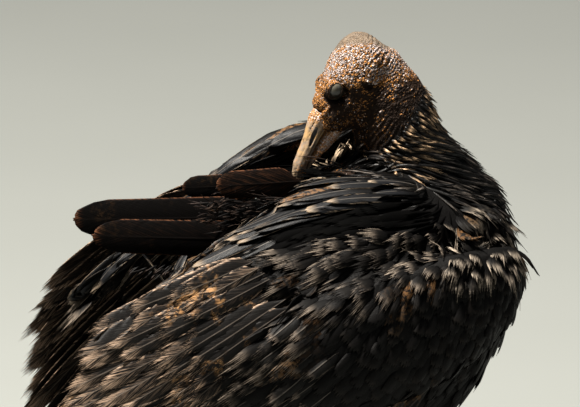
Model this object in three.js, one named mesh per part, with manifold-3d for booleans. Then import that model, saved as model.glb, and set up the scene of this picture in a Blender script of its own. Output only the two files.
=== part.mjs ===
// Black vulture (Coragyps atratus), a life-size still model that stands on both feet and preens:
// the neck folds back over the shoulders and the bill reaches down into raised scapular feathers.
// Units are millimetres. +X is the way the breast faces, +Y the bird's left, +Z up, floor at Z = 0.
import * as THREE from "three";
import { mergeVertices } from "three/addons/utils/BufferGeometryUtils.js";
import Module from "manifold-3d";

const wasm = await Module();
wasm.setup();
const { Manifold } = wasm;

// ---- Driving dimensions ----
const GAP = 0.35; // clearance between neighbouring pieces
const FOOT_SPREAD = 46; // from the midline to the middle of each foot
const FOOT_X = -8; // the middle of the feet, under the weight of the body
const HEAD_Y = -5; // the head hangs a little to the bird's right
const BILL_TIP = [-46, 375]; // X and Z of the bill's tip
const CROWN_END = [10, 470]; // X and Z of the back of the skull
const EYE_RADIUS = 7.6;
const EYE_PLACE = [65, 5]; // along the head from the bill's tip, and towards the crown
const EYE_OUT = 10; // from the head's middle plane to the middle of each eye
const LEAST_HALF = 0.5; // no section is thinner than twice this
const TRUNK_CENTRE = [12, 262];
const TRUNK_PITCH = THREE.MathUtils.degToRad(36);
const LEFT_WING_LIFT = 30; // the left shoulder is carried higher than the right,
const LEFT_WING_TURN = THREE.MathUtils.degToRad(14); // and the left wing droops more towards its tip
const WING_PIVOT = [20, 330]; // X and Z about which the left wing turns

// ---- Colours ----
const paint = (color, roughness) => new THREE.MeshStandardMaterial({ color, roughness, metalness: 0 });
const PLUMAGE = paint(0x17140f, 0.7);
const FLIGHT = paint(0x1d1916, 0.6);
const BARE_SKIN = paint(0x4a3a2e, 0.8);
const HORN = paint(0xc2a57e, 0.45);
const EYE = paint(0x1b1a15, 0.1);
const LEG_SKIN = paint(0x8a8378, 0.75);
const CLAW = paint(0x2a2622, 0.4);

// ---- Solids ----
const vec = (x, y, z) => new THREE.Vector3(x, y, z);

// Closed triangle lists as a manifold solid, turned round if its faces point inwards.
function solid(points, triangles) {
  const vertProperties = new Float32Array(points);
  const build = (triVerts) => new Manifold(new wasm.Mesh({ numProp: 3, vertProperties, triVerts }));
  const made = build(new Uint32Array(triangles));
  return made.volume() > 0 ? made : build(new Uint32Array(triangles).reverse());
}

function fromGeometry(geometry) {
  geometry.deleteAttribute("normal");
  geometry.deleteAttribute("uv");
  const merged = mergeVertices(geometry, 1e-4);
  return solid(merged.attributes.position.array, merged.index.array);
}

// A body of elliptical rings. A station is [x, y, z, half width, half depth]; the depth lies along
// `up` as nearly as the path allows, and the width across it. `grow` swells the body all round.
function loft(stations, { up = vec(0, 0, 1), rings = 12, sides = 14, grow = 0 } = {}) {
  const path = new THREE.CatmullRomCurve3(stations.map(([x, y, z]) => vec(x, y, z)));
  const size = new THREE.SplineCurve(stations.map((s) => new THREE.Vector2(s[3], s[4])));
  const points = [];
  const triangles = [];
  for (let i = 0; i <= rings; i++) {
    const t = i / rings;
    const along = path.getTangent(t);
    const across = up.clone().cross(along).normalize();
    const outward = along.clone().cross(across);
    const { x: halfWidth, y: halfDepth } = size.getPoint(t);
    const endShift = i === 0 ? -grow : i === rings ? grow : 0;
    const centre = path.getPoint(t).addScaledVector(along, endShift);
    for (let j = 0; j < sides; j++) {
      const angle = (2 * Math.PI * j) / sides;
      const p = centre
        .clone()
        .addScaledVector(across, (Math.max(halfWidth, LEAST_HALF) + grow) * Math.cos(angle))
        .addScaledVector(outward, (Math.max(halfDepth, LEAST_HALF) + grow) * Math.sin(angle));
      points.push(p.x, p.y, p.z);
    }
  }
  for (let i = 0; i < rings; i++)
    for (let j = 0; j < sides; j++) {
      const a = i * sides + j;
      const b = i * sides + ((j + 1) % sides);
      triangles.push(a, b, b + sides, a, b + sides, a + sides);
    }
  for (let j = 1; j < sides - 1; j++) {
    const last = rings * sides;
    triangles.push(0, j + 1, j, last, last + j, last + j + 1);
  }
  return solid(points, triangles);
}

// One big feather as a thin lens from root to tip, bowed by `bow` along `outward`.
function vane(root, tip, halfWidth, { outward, bow = 6, thick = 2.6, grow = 0, rings = 6, sides = 6 }) {
  const start = vec(...root);
  const end = vec(...tip);
  const profile = [
    [0, 0.35, 1],
    [0.2, 0.75, 1],
    [0.45, 0.98, 0.85],
    [0.7, 1, 0.65],
    [0.88, 0.86, 0.45],
    [0.97, 0.5, 0.35],
    [1, 0.16, 0.3],
  ];
  const stations = profile.map(([t, wide, deep]) => {
    const p = start.clone().lerp(end, t).addScaledVector(outward, bow * Math.sin(Math.PI * t));
    return [p.x, p.y, p.z, halfWidth * wide, Math.max(thick * deep, 0.7)];
  });
  return loft(stations, { up: outward, rings, sides, grow });
}

const joined = (bodies) => bodies.reduce((whole, body) => whole.add(body));
const largest = (body) =>
  body.decompose().reduce((most, piece) => (piece.volume() > most.volume() ? piece : most));

// A part is kept as a function of `grow`, so that its neighbours can be cut clear of it.
const group = new THREE.Group();
const FLOOR_SPAN = 900;
const FLOOR_DEPTH = 60;
const floorBlock = fromGeometry(
  new THREE.BoxGeometry(FLOOR_SPAN, FLOOR_SPAN, FLOOR_DEPTH).translate(0, 0, -FLOOR_DEPTH / 2),
);

function place(name, shape, material, neighbours = [], onFloor = false) {
  let body = shape(0);
  for (const other of neighbours) body = body.subtract(other(GAP));
  if (onFloor) body = body.subtract(floorBlock);
  const mesh = largest(body).getMesh();
  const geometry = new THREE.BufferGeometry();
  geometry.setAttribute("position", new THREE.BufferAttribute(mesh.vertProperties, 3));
  geometry.setIndex(new THREE.BufferAttribute(mesh.triVerts, 1));
  geometry.computeVertexNormals();
  const made = new THREE.Mesh(geometry, material);
  made.name = name;
  group.add(made);
}

// ---- Head, bill and eyes ----
// The head is drawn along its own axis: s runs from the bill's tip to the back of the skull, d towards
// the crown and y sideways.
const headLength = Math.hypot(CROWN_END[0] - BILL_TIP[0], CROWN_END[1] - BILL_TIP[1]);
const headBack = vec((CROWN_END[0] - BILL_TIP[0]) / headLength, 0, (CROWN_END[1] - BILL_TIP[1]) / headLength);
const headCrown = vec(-headBack.z, 0, headBack.x);

function headPoint(s, d, y = 0) {
  return vec(BILL_TIP[0], HEAD_Y + y, BILL_TIP[1]).addScaledVector(headBack, s).addScaledVector(headCrown, d);
}

// Stations in head terms are [s, d, half width, half depth].
function headLoft(stations, options) {
  const world = stations.map(([s, d, wide, deep]) => [...headPoint(s, d).toArray(), wide, deep]);
  return loft(world, { up: headCrown, ...options });
}

const eyeball = (side) => (grow) => {
  const at = headPoint(...EYE_PLACE, side * EYE_OUT);
  return fromGeometry(new THREE.SphereGeometry(EYE_RADIUS + grow, 10, 7).translate(at.x, at.y, at.z));
};

// The long slot that runs right through the upper bill.
const NOSTRIL_ENDS = [headPoint(23.5, 3.2), headPoint(38, 5.6)];
const NOSTRIL_HALF_HEIGHT = 1.4;
const BILL_WIDTH = 20; // more than the bill's own, so that the slot runs right through
const nostril = () => {
  const along = NOSTRIL_ENDS[1].clone().sub(NOSTRIL_ENDS[0]);
  const turned = new THREE.Quaternion().setFromUnitVectors(vec(1, 0, 0), along.clone().normalize());
  const middle = NOSTRIL_ENDS[0].clone().lerp(NOSTRIL_ENDS[1], 0.5);
  const slot = new THREE.CylinderGeometry(1, 1, BILL_WIDTH, 10).scale(along.length() / 2, 1, NOSTRIL_HALF_HEIGHT);
  return fromGeometry(slot.applyQuaternion(turned).translate(middle.x, middle.y, middle.z));
};

const wholeUpperBill = (grow) =>
  headLoft(
    [
      [-4, -9.5, 0.8, 0.9],
      [-2.5, -5.5, 1.7, 2.4],
      [2, -1.6, 2.8, 4.2],
      [9, 1.6, 3.9, 5],
      [17, 2.6, 4.6, 5],
      [25, 3.2, 4.8, 5.2],
      [34, 4, 5.6, 6.2],
      [43, 4.8, 6.8, 7.4],
      [48, 5, 6, 6.6],
    ],
    { rings: 10, sides: 9, grow },
  );

// What the upper bill cuts is cut by the whole of it, without the slot.
const upperBill = (grow) => (grow > 0 ? wholeUpperBill(grow) : wholeUpperBill(0).subtract(nostril()));

const lowerBill = (grow) =>
  headLoft(
    [
      [3, -5.2, 1.2, 0.8],
      [7, -5.6, 2.6, 1.6],
      [16, -5.8, 3.6, 2.2],
      [30, -6.4, 4.8, 2.8],
      [42, -7.4, 6.4, 3.6],
      [48, -7.8, 6, 3.4],
    ],
    { rings: 5, sides: 9, grow },
  );

const skull = (grow) =>
  headLoft(
    [
      [38, 0.4, 6, 9],
      [41, -0.6, 8.2, 11.6],
      [48, -2.2, 10.8, 15],
      [57, -3.8, 14, 18.2],
      [66, -4.8, 17, 20.4],
      [77, -5.2, 20, 21.6],
      [87, -4.4, 21.4, 22.2],
      [96, -4, 20.4, 20.6],
      [102, -4.6, 17, 17],
      [105.5, -5.6, 11.4, 11.6],
      [107.5, -6.2, 4.4, 4.6],
    ],
    { rings: 10, sides: 12, grow },
  );

const neck = (grow) =>
  loft(
    [
      [6, HEAD_Y, 452, 16, 17],
      [10, HEAD_Y, 441, 20, 22],
      [19, HEAD_Y + 1, 424, 24, 27],
      [32, HEAD_Y + 2, 392, 28, 31],
      [46, -2, 356, 38, 42],
      [62, 0, 326, 50, 49],
      [68, 0, 298, 54, 42],
    ],
    { up: vec(1, 0, 0), rings: 9, sides: 14, grow },
  );

// The neck turns sharply, so what it cuts is cut this many times as wide.
const NECK_CLEARANCE = 3;
const neckCutter = (grow) => neck(NECK_CLEARANCE * grow);

// The head is turned right round, so its left eye looks out on the right side of the body.
const eyes = [eyeball(-1), eyeball(1)];
place("bill_upper", upperBill, HORN);
place("bill_lower", lowerBill, HORN, [upperBill]);
place("eye_left", eyes[0], EYE);
place("eye_right", eyes[1], EYE);
place("head", skull, BARE_SKIN, [upperBill, lowerBill, ...eyes]);
place("neck", neck, PLUMAGE, [skull, ...eyes]);

// ---- Trunk ----
// Stations are [distance from the middle towards the tail, half width, half depth].
const trunkBack = vec(-Math.cos(TRUNK_PITCH), 0, -Math.sin(TRUNK_PITCH));
const trunk = (grow) =>
  loft(
    [
      [-113, 14, 13],
      [-107, 29, 29],
      [-93, 42, 45],
      [-72, 55, 61],
      [-38, 65, 76],
      [0, 70, 83],
      [42, 66, 74],
      [82, 54, 54],
      [112, 38, 35],
      [134, 28, 22],
      [142, 24, 18],
    ].map(([t, wide, deep]) => [
      TRUNK_CENTRE[0] + trunkBack.x * t,
      0,
      TRUNK_CENTRE[1] + trunkBack.z * t,
      wide,
      deep,
    ]),
    { rings: 10, sides: 14, grow },
  );
place("trunk", trunk, PLUMAGE, [neckCutter]);

// The mantle, humped up between the shoulders by the folded neck.
const mantle = (grow) =>
  loft(
    [
      [36, -4, 350, 24, 24],
      [10, -6, 354, 38, 31],
      [-14, -6, 350, 38, 30],
      [-40, 2, 336, 38, 24],
      [-85, 2, 316, 32, 18],
      [-125, 0, 290, 18, 10],
    ],
    { rings: 7, sides: 11, grow },
  );

// ---- Tail: a shallow fan of rectrices under a wedge of coverts ----
const TAIL_FEATHERS = 7;
const TAIL_TIP = [-236, 76]; // X and Z of the middle feather's tip
const tailUp = vec(-0.62, 0, 0.78);

const tailFan = (grow) =>
  joined(
    Array.from({ length: TAIL_FEATHERS }, (_, i) => {
      const k = i - (TAIL_FEATHERS - 1) / 2;
      const drop = 1.6 * k * k;
      const root = [-104, 5 * k, 188 - drop * 0.4];
      const tip = [TAIL_TIP[0] + Math.abs(k) * 3, 16.5 * k, TAIL_TIP[1] - drop];
      return vane(root, tip, 15.5, { outward: tailUp, bow: 3, thick: 3.2, grow, rings: 4 });
    }),
  );

const tailCoverts = (grow) =>
  loft(
    [
      [-94, 0, 186, 26, 20],
      [-112, 0, 172, 32, 18],
      [-138, 0, 152, 36, 12],
      [-164, 0, 132, 34, 7],
      [-182, 0, 119, 20, 4],
    ],
    { up: tailUp, rings: 5, sides: 12, grow },
  );
place("tail_coverts", tailCoverts, PLUMAGE, [trunk]);
place("tail", tailFan, FLIGHT, [tailCoverts, trunk]);

// ---- Wings, drooped and slightly opened ----
// Coordinates are given for the bird's left (+Y) and mirrored for its right.
function wing(side) {
  const lift = side > 0 ? LEFT_WING_LIFT : 0;
  const turn = side > 0 ? LEFT_WING_TURN : 0;
  const label = side > 0 ? "left" : "right";
  const mirrored = ([x, y, z, ...sizes], share = 1) => {
    const [fromX, fromZ] = [x - WING_PIVOT[0], z - WING_PIVOT[1]];
    const [cos, sin] = [Math.cos(turn * share), Math.sin(turn * share)];
    return [
      WING_PIVOT[0] + fromX * cos - fromZ * sin,
      side * y,
      WING_PIVOT[1] + fromX * sin + fromZ * cos + lift * share,
      ...sizes,
    ];
  };
  const outward = vec(0, side, 0.12).normalize();
  const scapularUp = vec(0, side * 0.55, 0.83);

  // The folded arm, from the wrist beside the breast back to the elbow.
  const arm = (grow) =>
    loft(
      [
        [99, 44, 320, 4, 9],
        [92, 57, 314, 13, 25],
        [70, 75, 305, 20, 37],
        [36, 88, 296, 23, 45],
        [0, 93, 287, 24, 50],
        [-45, 97, 277, 21, 48],
        [-85, 99, 267, 15, 40],
        [-118, 99, 258, 9, 28],
        [-138, 97, 252, 4, 12],
      ].map((s) => mirrored(s, 0.15)),
      { rings: 9, sides: 12, grow },
    );

  // The mantle and scapulars that drape from the back over the shoulder.
  const scapulars = (grow) =>
    loft(
      [
        [76, 40, 348, 8, 5],
        [56, 46, 356, 24, 10],
        [14, 56, 361, 35, 13],
        [-32, 62, 354, 37, 12],
        [-78, 68, 340, 33, 9],
        [-122, 74, 322, 26, 6],
        [-152, 77, 308, 18, 4],
        [-174, 79, 298, 7, 2],
      ].map((s, i) => mirrored(s, Math.min(1, 0.25 + 0.3 * i))),
      { up: scapularUp, rings: 8, sides: 10, grow },
    );

  // Tertials, then secondaries, as a fan of long vanes: [root, tip, half width].
  const flightRows = [
    [[-24, 62, 336], [-206, 84, 306], 15],
    [[-28, 72, 326], [-226, 89, 277], 19],
    [[-32, 80, 314], [-237, 91, 246], 20],
    [[-30, 86, 302], [-243, 90, 214], 21],
    [[-22, 90, 290], [-246, 86, 182], 21],
    [[-6, 92, 278], [-245, 79, 151], 21],
    [[12, 92, 268], [-240, 71, 123], 20],
  ];
  const flight = (grow) =>
    joined(
      flightRows.map(([root, tip, halfWidth]) =>
        vane(mirrored(root), mirrored(tip), halfWidth, { outward, bow: 13, thick: 4, grow, rings: 5 }),
      ),
    );

  // The primaries, folded in under the secondaries beside the tail.
  const primaryRows = [
    [[4, 86, 262], [-236, 62, 102]],
    [[12, 85, 256], [-226, 58, 84]],
    [[20, 83, 250], [-210, 54, 71]],
    [[28, 81, 246], [-190, 52, 64]],
  ];
  const primaries = (grow) =>
    joined(
      primaryRows.map(([root, tip]) =>
        vane(mirrored(root, 0.4), mirrored(tip, 0.4), 15, { outward, bow: 10, thick: 3.6, grow, rings: 4 }),
      ),
    );

  place(`wing_arm_${label}`, arm, PLUMAGE, [trunk, neckCutter]);
  place(`scapulars_${label}`, scapulars, PLUMAGE, [trunk, neckCutter, arm]);
  place(`flight_feathers_${label}`, flight, FLIGHT, [trunk, arm, scapulars]);
  place(`primaries_${label}`, primaries, FLIGHT, [trunk, arm, flight]);
  return { arm, scapulars, flight, primaries };
}
const leftWing = wing(1);
const rightWing = wing(-1);
const bothScapulars = [leftWing.scapulars, rightWing.scapulars];
place("mantle", mantle, PLUMAGE, [trunk, neckCutter, ...bothScapulars]);

// ---- Scapulars lifted by the bill: [root, tip, half width] ----
const raisedRows = [
  [[-62, -30, 353], [-203, -22, 363], 17],
  [[-66, -35, 332], [-192, -28, 355], 13.5],
  [[-34, -36, 380], [-108, -33, 381], 10.5],
  [[-58, -24, 376], [-127, -18, 378], 9],
];
const raisedOutward = vec(0.05, -1, 0.1).normalize();
const raised = raisedRows.map(
  ([root, tip, halfWidth]) =>
    (grow) =>
      vane(root, tip, halfWidth, { outward: raisedOutward, bow: 4, thick: 1.6, grow }),
);
raised.forEach((shape, i) => {
  const others = [...raised.slice(0, i), ...bothScapulars, rightWing.flight, mantle, upperBill, lowerBill, trunk];
  place(`raised_feather_${i + 1}`, shape, FLIGHT, others);
});

// ---- Legs ----
// Toe directions in degrees from straight ahead, outward positive, with each toe's length.
const TOES = [
  ["inner", -30, 46],
  ["middle", 3, 64],
  ["outer", 36, 48],
  ["hind", 168, 24],
];
const TOE_RADIUS = 5;
const PAD = [12, 10.5, 7.5]; // half sizes of the ball under the shank
const PAD_HEIGHT = 5.5;

function leg(side) {
  const label = side > 0 ? "left" : "right";
  const y = side * FOOT_SPREAD;
  const forward = { up: vec(1, 0, 0) };

  const thigh = (grow) =>
    loft(
      [
        [FOOT_X + 28, y * 0.9, 208, 30, 34],
        [FOOT_X + 15, y * 0.95, 180, 30, 34],
        [FOOT_X - 5, y, 148, 24, 27],
        [FOOT_X - 20, y, 116, 15, 17],
        [FOOT_X - 30, y, 92, 9, 10],
      ],
      { ...forward, rings: 6, sides: 11, grow },
    );
  const shank = (grow) =>
    loft(
      [
        [FOOT_X - 33, y, 104, 5, 6],
        [FOOT_X - 33, y, 92, 6.4, 7.4],
        [FOOT_X - 29, y, 80, 4.8, 5.8],
        [FOOT_X - 16, y, 50, 4.6, 5.2],
        [FOOT_X - 5, y, 22, 5.6, 6.4],
        [FOOT_X - 1, y, 9, 6.6, 7.6],
      ],
      { ...forward, rings: 6, sides: 8, grow },
    );
  const pad = (grow) =>
    fromGeometry(
      new THREE.SphereGeometry(1, 9, 5)
        .scale(...PAD.map((half) => half + grow))
        .translate(FOOT_X, y, PAD_HEIGHT),
    );

  place(`thigh_${label}`, thigh, PLUMAGE, [trunk, side > 0 ? leftWing.arm : rightWing.arm]);
  place(`shank_${label}`, shank, LEG_SKIN, [thigh]);
  place(`foot_${label}`, pad, LEG_SKIN, [shank], true);

  const reach = (angle, distance, z) => [
    FOOT_X + Math.cos(angle) * distance,
    y + side * Math.sin(angle) * distance,
    z,
  ];
  const toes = [];
  TOES.forEach(([toeName, degrees, length]) => {
    const angle = THREE.MathUtils.degToRad(degrees);
    const toe = (grow) =>
      loft(
        [
          [...reach(angle, 5, PAD_HEIGHT), 4.6, 5],
          [...reach(angle, length * 0.3, 5), TOE_RADIUS, TOE_RADIUS],
          [...reach(angle, length * 0.55, 4), TOE_RADIUS - 0.8, TOE_RADIUS - 0.8],
          [...reach(angle, length * 0.75, 4), TOE_RADIUS - 0.3, TOE_RADIUS - 0.4],
          [...reach(angle, length * 0.95, 3.6), TOE_RADIUS - 1.2, TOE_RADIUS - 1],
          [...reach(angle, length, 3.6), 2, 2.2],
        ],
        { rings: 4, sides: 7, grow },
      );
    const claw = (grow) =>
      loft(
        [
          [...reach(angle, length - 3, 4.8), 2.3, 2.8],
          [...reach(angle, length + 3, 6), 2.2, 2.8],
          [...reach(angle, length + 9, 4.4), 1.5, 2],
          [...reach(angle, length + 13, 1.5), 0.6, 0.8],
        ],
        { rings: 3, sides: 5, grow },
      );
    place(`toe_${toeName}_${label}`, toe, LEG_SKIN, [pad, shank, ...toes], true);
    place(`claw_${toeName}_${label}`, claw, CLAW, [toe], true);
    toes.push(toe);
  });
}
leg(1);
leg(-1);

// The origin sits on the floor, under the middle of the whole bird.
const bounds = new THREE.Box3().setFromObject(group);
const middle = bounds.getCenter(vec(0, 0, 0));
group.position.set(-middle.x, -middle.y, 0);

export default group;
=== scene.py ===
"""Black vulture, preening: one skin, its plumage, horn, eyes and legs, built over the packed frame.

Units are metres, +X is the way the breast faces, +Y the bird's left, +Z up. The bird's head is turned
right round, so its left eye looks out over the right wing.
"""

import math
from types import SimpleNamespace

import bmesh
import bpy
import numpy as np
from mathutils import Matrix, Vector, noise
from mathutils.bvhtree import BVHTree


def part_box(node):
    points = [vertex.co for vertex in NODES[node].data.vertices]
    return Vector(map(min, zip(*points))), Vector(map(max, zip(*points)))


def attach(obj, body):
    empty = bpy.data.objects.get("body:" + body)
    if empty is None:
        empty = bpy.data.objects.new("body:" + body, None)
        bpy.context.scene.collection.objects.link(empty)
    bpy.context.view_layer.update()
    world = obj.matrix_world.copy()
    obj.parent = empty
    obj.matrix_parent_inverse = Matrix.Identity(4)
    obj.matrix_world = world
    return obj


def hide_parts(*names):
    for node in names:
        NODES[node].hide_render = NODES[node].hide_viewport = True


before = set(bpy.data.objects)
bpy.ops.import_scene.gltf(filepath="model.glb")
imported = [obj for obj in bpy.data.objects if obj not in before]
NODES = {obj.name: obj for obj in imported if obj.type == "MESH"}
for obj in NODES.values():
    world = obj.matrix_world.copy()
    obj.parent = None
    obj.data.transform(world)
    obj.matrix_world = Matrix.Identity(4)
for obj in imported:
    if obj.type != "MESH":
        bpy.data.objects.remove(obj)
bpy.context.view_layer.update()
MM = 0.001


# ---- Small helpers ----
def unit(v):
    v = np.asarray(v, float)
    return v / np.maximum(np.linalg.norm(v, axis=-1, keepdims=True), 1e-12)


def smoothstep(low, high, x):
    t = np.clip((np.asarray(x, float) - low) / (high - low), 0, 1)
    return t * t * (3 - 2 * t)


def ramp(low, high, x):
    """smoothstep between two lengths in millimetres."""
    return smoothstep(low * MM, high * MM, x)


def bell(x, width):
    return np.exp(-((x / width) ** 2))


def mixed(a, b, share):
    return a * (1 - share) + b * share


def box_of(node):
    return [np.array(corner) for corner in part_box(node)]


def shares(node, points):
    """Where points lie in a CAD node's box, 0 to 1 along each axis."""
    low, high = box_of(node)
    return (points - low) / (high - low)


def at(node, fx, fy, fz):
    """The point at those fractions of a CAD node's box."""
    low, high = box_of(node)
    return low + (high - low) * np.array([fx, fy, fz])


def centre(node):
    return at(node, 0.5, 0.5, 0.5)


def read(data, field, width=1, kind=float):
    """A field of a Blender collection as an array, with one row for each member."""
    values = np.empty(len(data) * width, kind)
    data.foreach_get(field, values)
    return values.reshape(-1, width) if width > 1 else values


def mesh_arrays(mesh):
    mesh.calc_loop_triangles()
    return read(mesh.vertices, "co", 3), read(mesh.loop_triangles, "vertices", 3, np.int32)


def tree_of(points, tris):
    return BVHTree.FromPolygons(points.tolist(), tris.tolist())


def points_and_normals(mesh):
    return read(mesh.vertices, "co", 3), read(mesh.vertices, "normal", 3)


def set_points(mesh, points):
    mesh.vertices.foreach_set("co", points.astype(np.float32).ravel())
    mesh.update()


def shade_smooth(mesh):
    mesh.polygons.foreach_set("use_smooth", np.ones(len(mesh.polygons), bool))


def make_object(name, points, faces):
    """A smooth-shaded mesh object from a point array and an array of equal-sided faces."""
    mesh = bpy.data.meshes.new(name)
    mesh.vertices.add(len(points))
    mesh.vertices.foreach_set("co", np.asarray(points, np.float32).ravel())
    mesh.loops.add(faces.size)
    mesh.loops.foreach_set("vertex_index", np.asarray(faces, np.int32).ravel())
    mesh.polygons.add(len(faces))
    mesh.polygons.foreach_set("loop_start", np.arange(0, faces.size, faces.shape[1], dtype=np.int32))
    shade_smooth(mesh)
    mesh.update(calc_edges=True)
    return link(name, mesh)


def link(name, data):
    made = bpy.data.objects.new(name, data)
    bpy.context.scene.collection.objects.link(made)
    return made


def give_attribute(obj, name, values):
    values = np.asarray(values, np.float32)
    kind, field = ("FLOAT_VECTOR", "vector") if values.ndim == 2 else ("FLOAT", "value")
    layer = obj.data.attributes.new(name, kind, "POINT")
    layer.data.foreach_set(field, values.ravel())


def give_bake_map(obj, uv_of_vertex):
    """A UV map named OFBake from one place for each vertex."""
    corners = read(obj.data.loops, "vertex_index", 1, np.int32)
    layer = obj.data.uv_layers.new(name="OFBake")
    layer.data.foreach_set("uv", np.asarray(uv_of_vertex, np.float32)[corners].ravel())


def add_piece(obj, slot, material, *replaced):
    obj.data.materials.clear()
    obj.data.materials.append(material)
    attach(obj, "root")
    if replaced:
        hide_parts(*replaced)
    return obj


def fused(names, voxel, swell=0.0, smoothing=4, webs=()):
    """One closed mesh round several CAD nodes and webs of skin (middle, radii), remeshed and smoothed."""
    merged = bmesh.new()
    for name in names:
        merged.from_mesh(NODES[name].data)
    bmesh.ops.remove_doubles(merged, verts=merged.verts, dist=1e-6)
    for middle, radii in webs:
        placed = Matrix.Translation(middle) @ Matrix.Diagonal((*radii, 1.0))
        bmesh.ops.create_icosphere(merged, subdivisions=3, radius=1.0, matrix=placed)
    merged.normal_update()
    for vert in merged.verts:
        vert.co += vert.normal * swell
    source = bpy.data.meshes.new("source")
    merged.to_mesh(source)
    merged.free()
    holder = link("source", source)
    remesh = holder.modifiers.new("remesh", "REMESH")
    remesh.mode = "VOXEL"
    remesh.voxel_size = voxel
    smooth = holder.modifiers.new("smooth", "SMOOTH")
    smooth.factor = 0.5
    smooth.iterations = smoothing
    mesh = bpy.data.meshes.new_from_object(holder.evaluated_get(bpy.context.evaluated_depsgraph_get()))
    bpy.data.objects.remove(holder)
    shade_smooth(mesh)
    return mesh


# ---- Places on the bird ----
EYES = (centre("eye_left") + centre("eye_right")) / 2
HEAD_PITCH = math.radians(59.5)
HEAD_BACK = np.array([math.cos(HEAD_PITCH), 0, math.sin(HEAD_PITCH)])
HEAD_CROWN = np.array([-math.sin(HEAD_PITCH), 0, math.cos(HEAD_PITCH)])
BARE_PLANE = unit([-0.72, 0, 0.69])  # the bare skin ends along this slant across the neck
BARE_EDGE = 0.0455  # below the eyes, measured along that slant
TAIL_UP = unit([-0.62, 0, 0.78])  # square to the tail's upper side
WING_FRONT_TOP = float(at("neck", 0, 0, 0.37)[2])  # below this the wings' coverts cover the neck's flanks
SHOULDER = float(at("scapulars_right", 0.9, 0, 0)[0])  # in front of this the hackles cover the scapulars


def head_coordinates(points):
    """(back from the eyes, up towards the crown, sideways) of points."""
    offset = points - EYES
    return offset @ HEAD_BACK, offset @ HEAD_CROWN, offset[..., 1]


def bareness(points):
    """Above zero on the bare head and nape, below it on feathered skin, in metres."""
    offset = points - EYES
    slant = offset @ BARE_PLANE + BARE_EDGE
    # only close round the head, so that the back and the wings keep their feathers
    near = np.minimum(offset[..., 0] + 26 * MM, 40 * MM - np.abs(offset[..., 1]))
    return np.minimum(slant, near)


# ---- Camera and light ----
CAMERA_AZIMUTH = math.radians(-18)
CAMERA_ELEVATION = math.radians(14)
CAMERA_DISTANCE = 5.0
SENSOR = 36.0
FRAME_WIDTH = 0.3867  # what the picture spans at the bird, in metres
VIEW_MIDDLE = Vector((-0.0287, 0.005, -0.0775))  # from the eyes to what the camera points at


def look_from(azimuth, elevation):
    level = math.cos(elevation)
    return Vector((math.sin(azimuth) * level, -math.cos(azimuth) * level, math.sin(elevation)))


def add_camera():
    data = bpy.data.cameras.new("camera")
    data.sensor_width = SENSOR
    data.lens = SENSOR * CAMERA_DISTANCE / FRAME_WIDTH
    data.clip_end = 60
    camera = link("camera", data)
    back = look_from(CAMERA_AZIMUTH, CAMERA_ELEVATION)
    target = Vector(EYES) + VIEW_MIDDLE
    camera.location = target + back * CAMERA_DISTANCE
    camera.rotation_mode = "QUATERNION"
    camera.rotation_quaternion = (-back).to_track_quat("-Z", "Y")
    bpy.context.scene.camera = camera


def add_light(name, azimuth, elevation, distance, size, power, colour):
    data = bpy.data.lights.new(name, "AREA")
    data.size = size
    data.energy = power
    data.color = colour
    lamp = link(name, data)
    direction = look_from(math.radians(azimuth), math.radians(elevation))
    lamp.location = Vector(centre("trunk")) + direction * distance
    lamp.rotation_mode = "QUATERNION"
    lamp.rotation_quaternion = direction.to_track_quat("Z", "Y")


def set_tones():
    """Plain display tones, with no film curve."""
    bpy.context.scene.view_settings.view_transform = "Standard"


def add_world():
    world = bpy.data.worlds.new("studio")
    bpy.context.scene.world = world
    world.use_nodes = True
    background = world.node_tree.nodes["Background"]
    background.inputs["Color"].default_value = (0.82, 0.86, 0.9, 1)
    background.inputs["Strength"].default_value = 0.06


# ---- Materials ----
class Value:
    """An output of a node, which can be added, subtracted and multiplied."""

    def __init__(self, paint, socket):
        self.paint, self.socket = paint, socket

    def __add__(self, other):
        return self.paint.calc("ADD", self, other)

    def __sub__(self, other):
        return self.paint.calc("SUBTRACT", self, other)

    def __mul__(self, other):
        return self.paint.calc("MULTIPLY", self, other)

    def __abs__(self):
        return self.paint.calc("ABSOLUTE", self)


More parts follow.
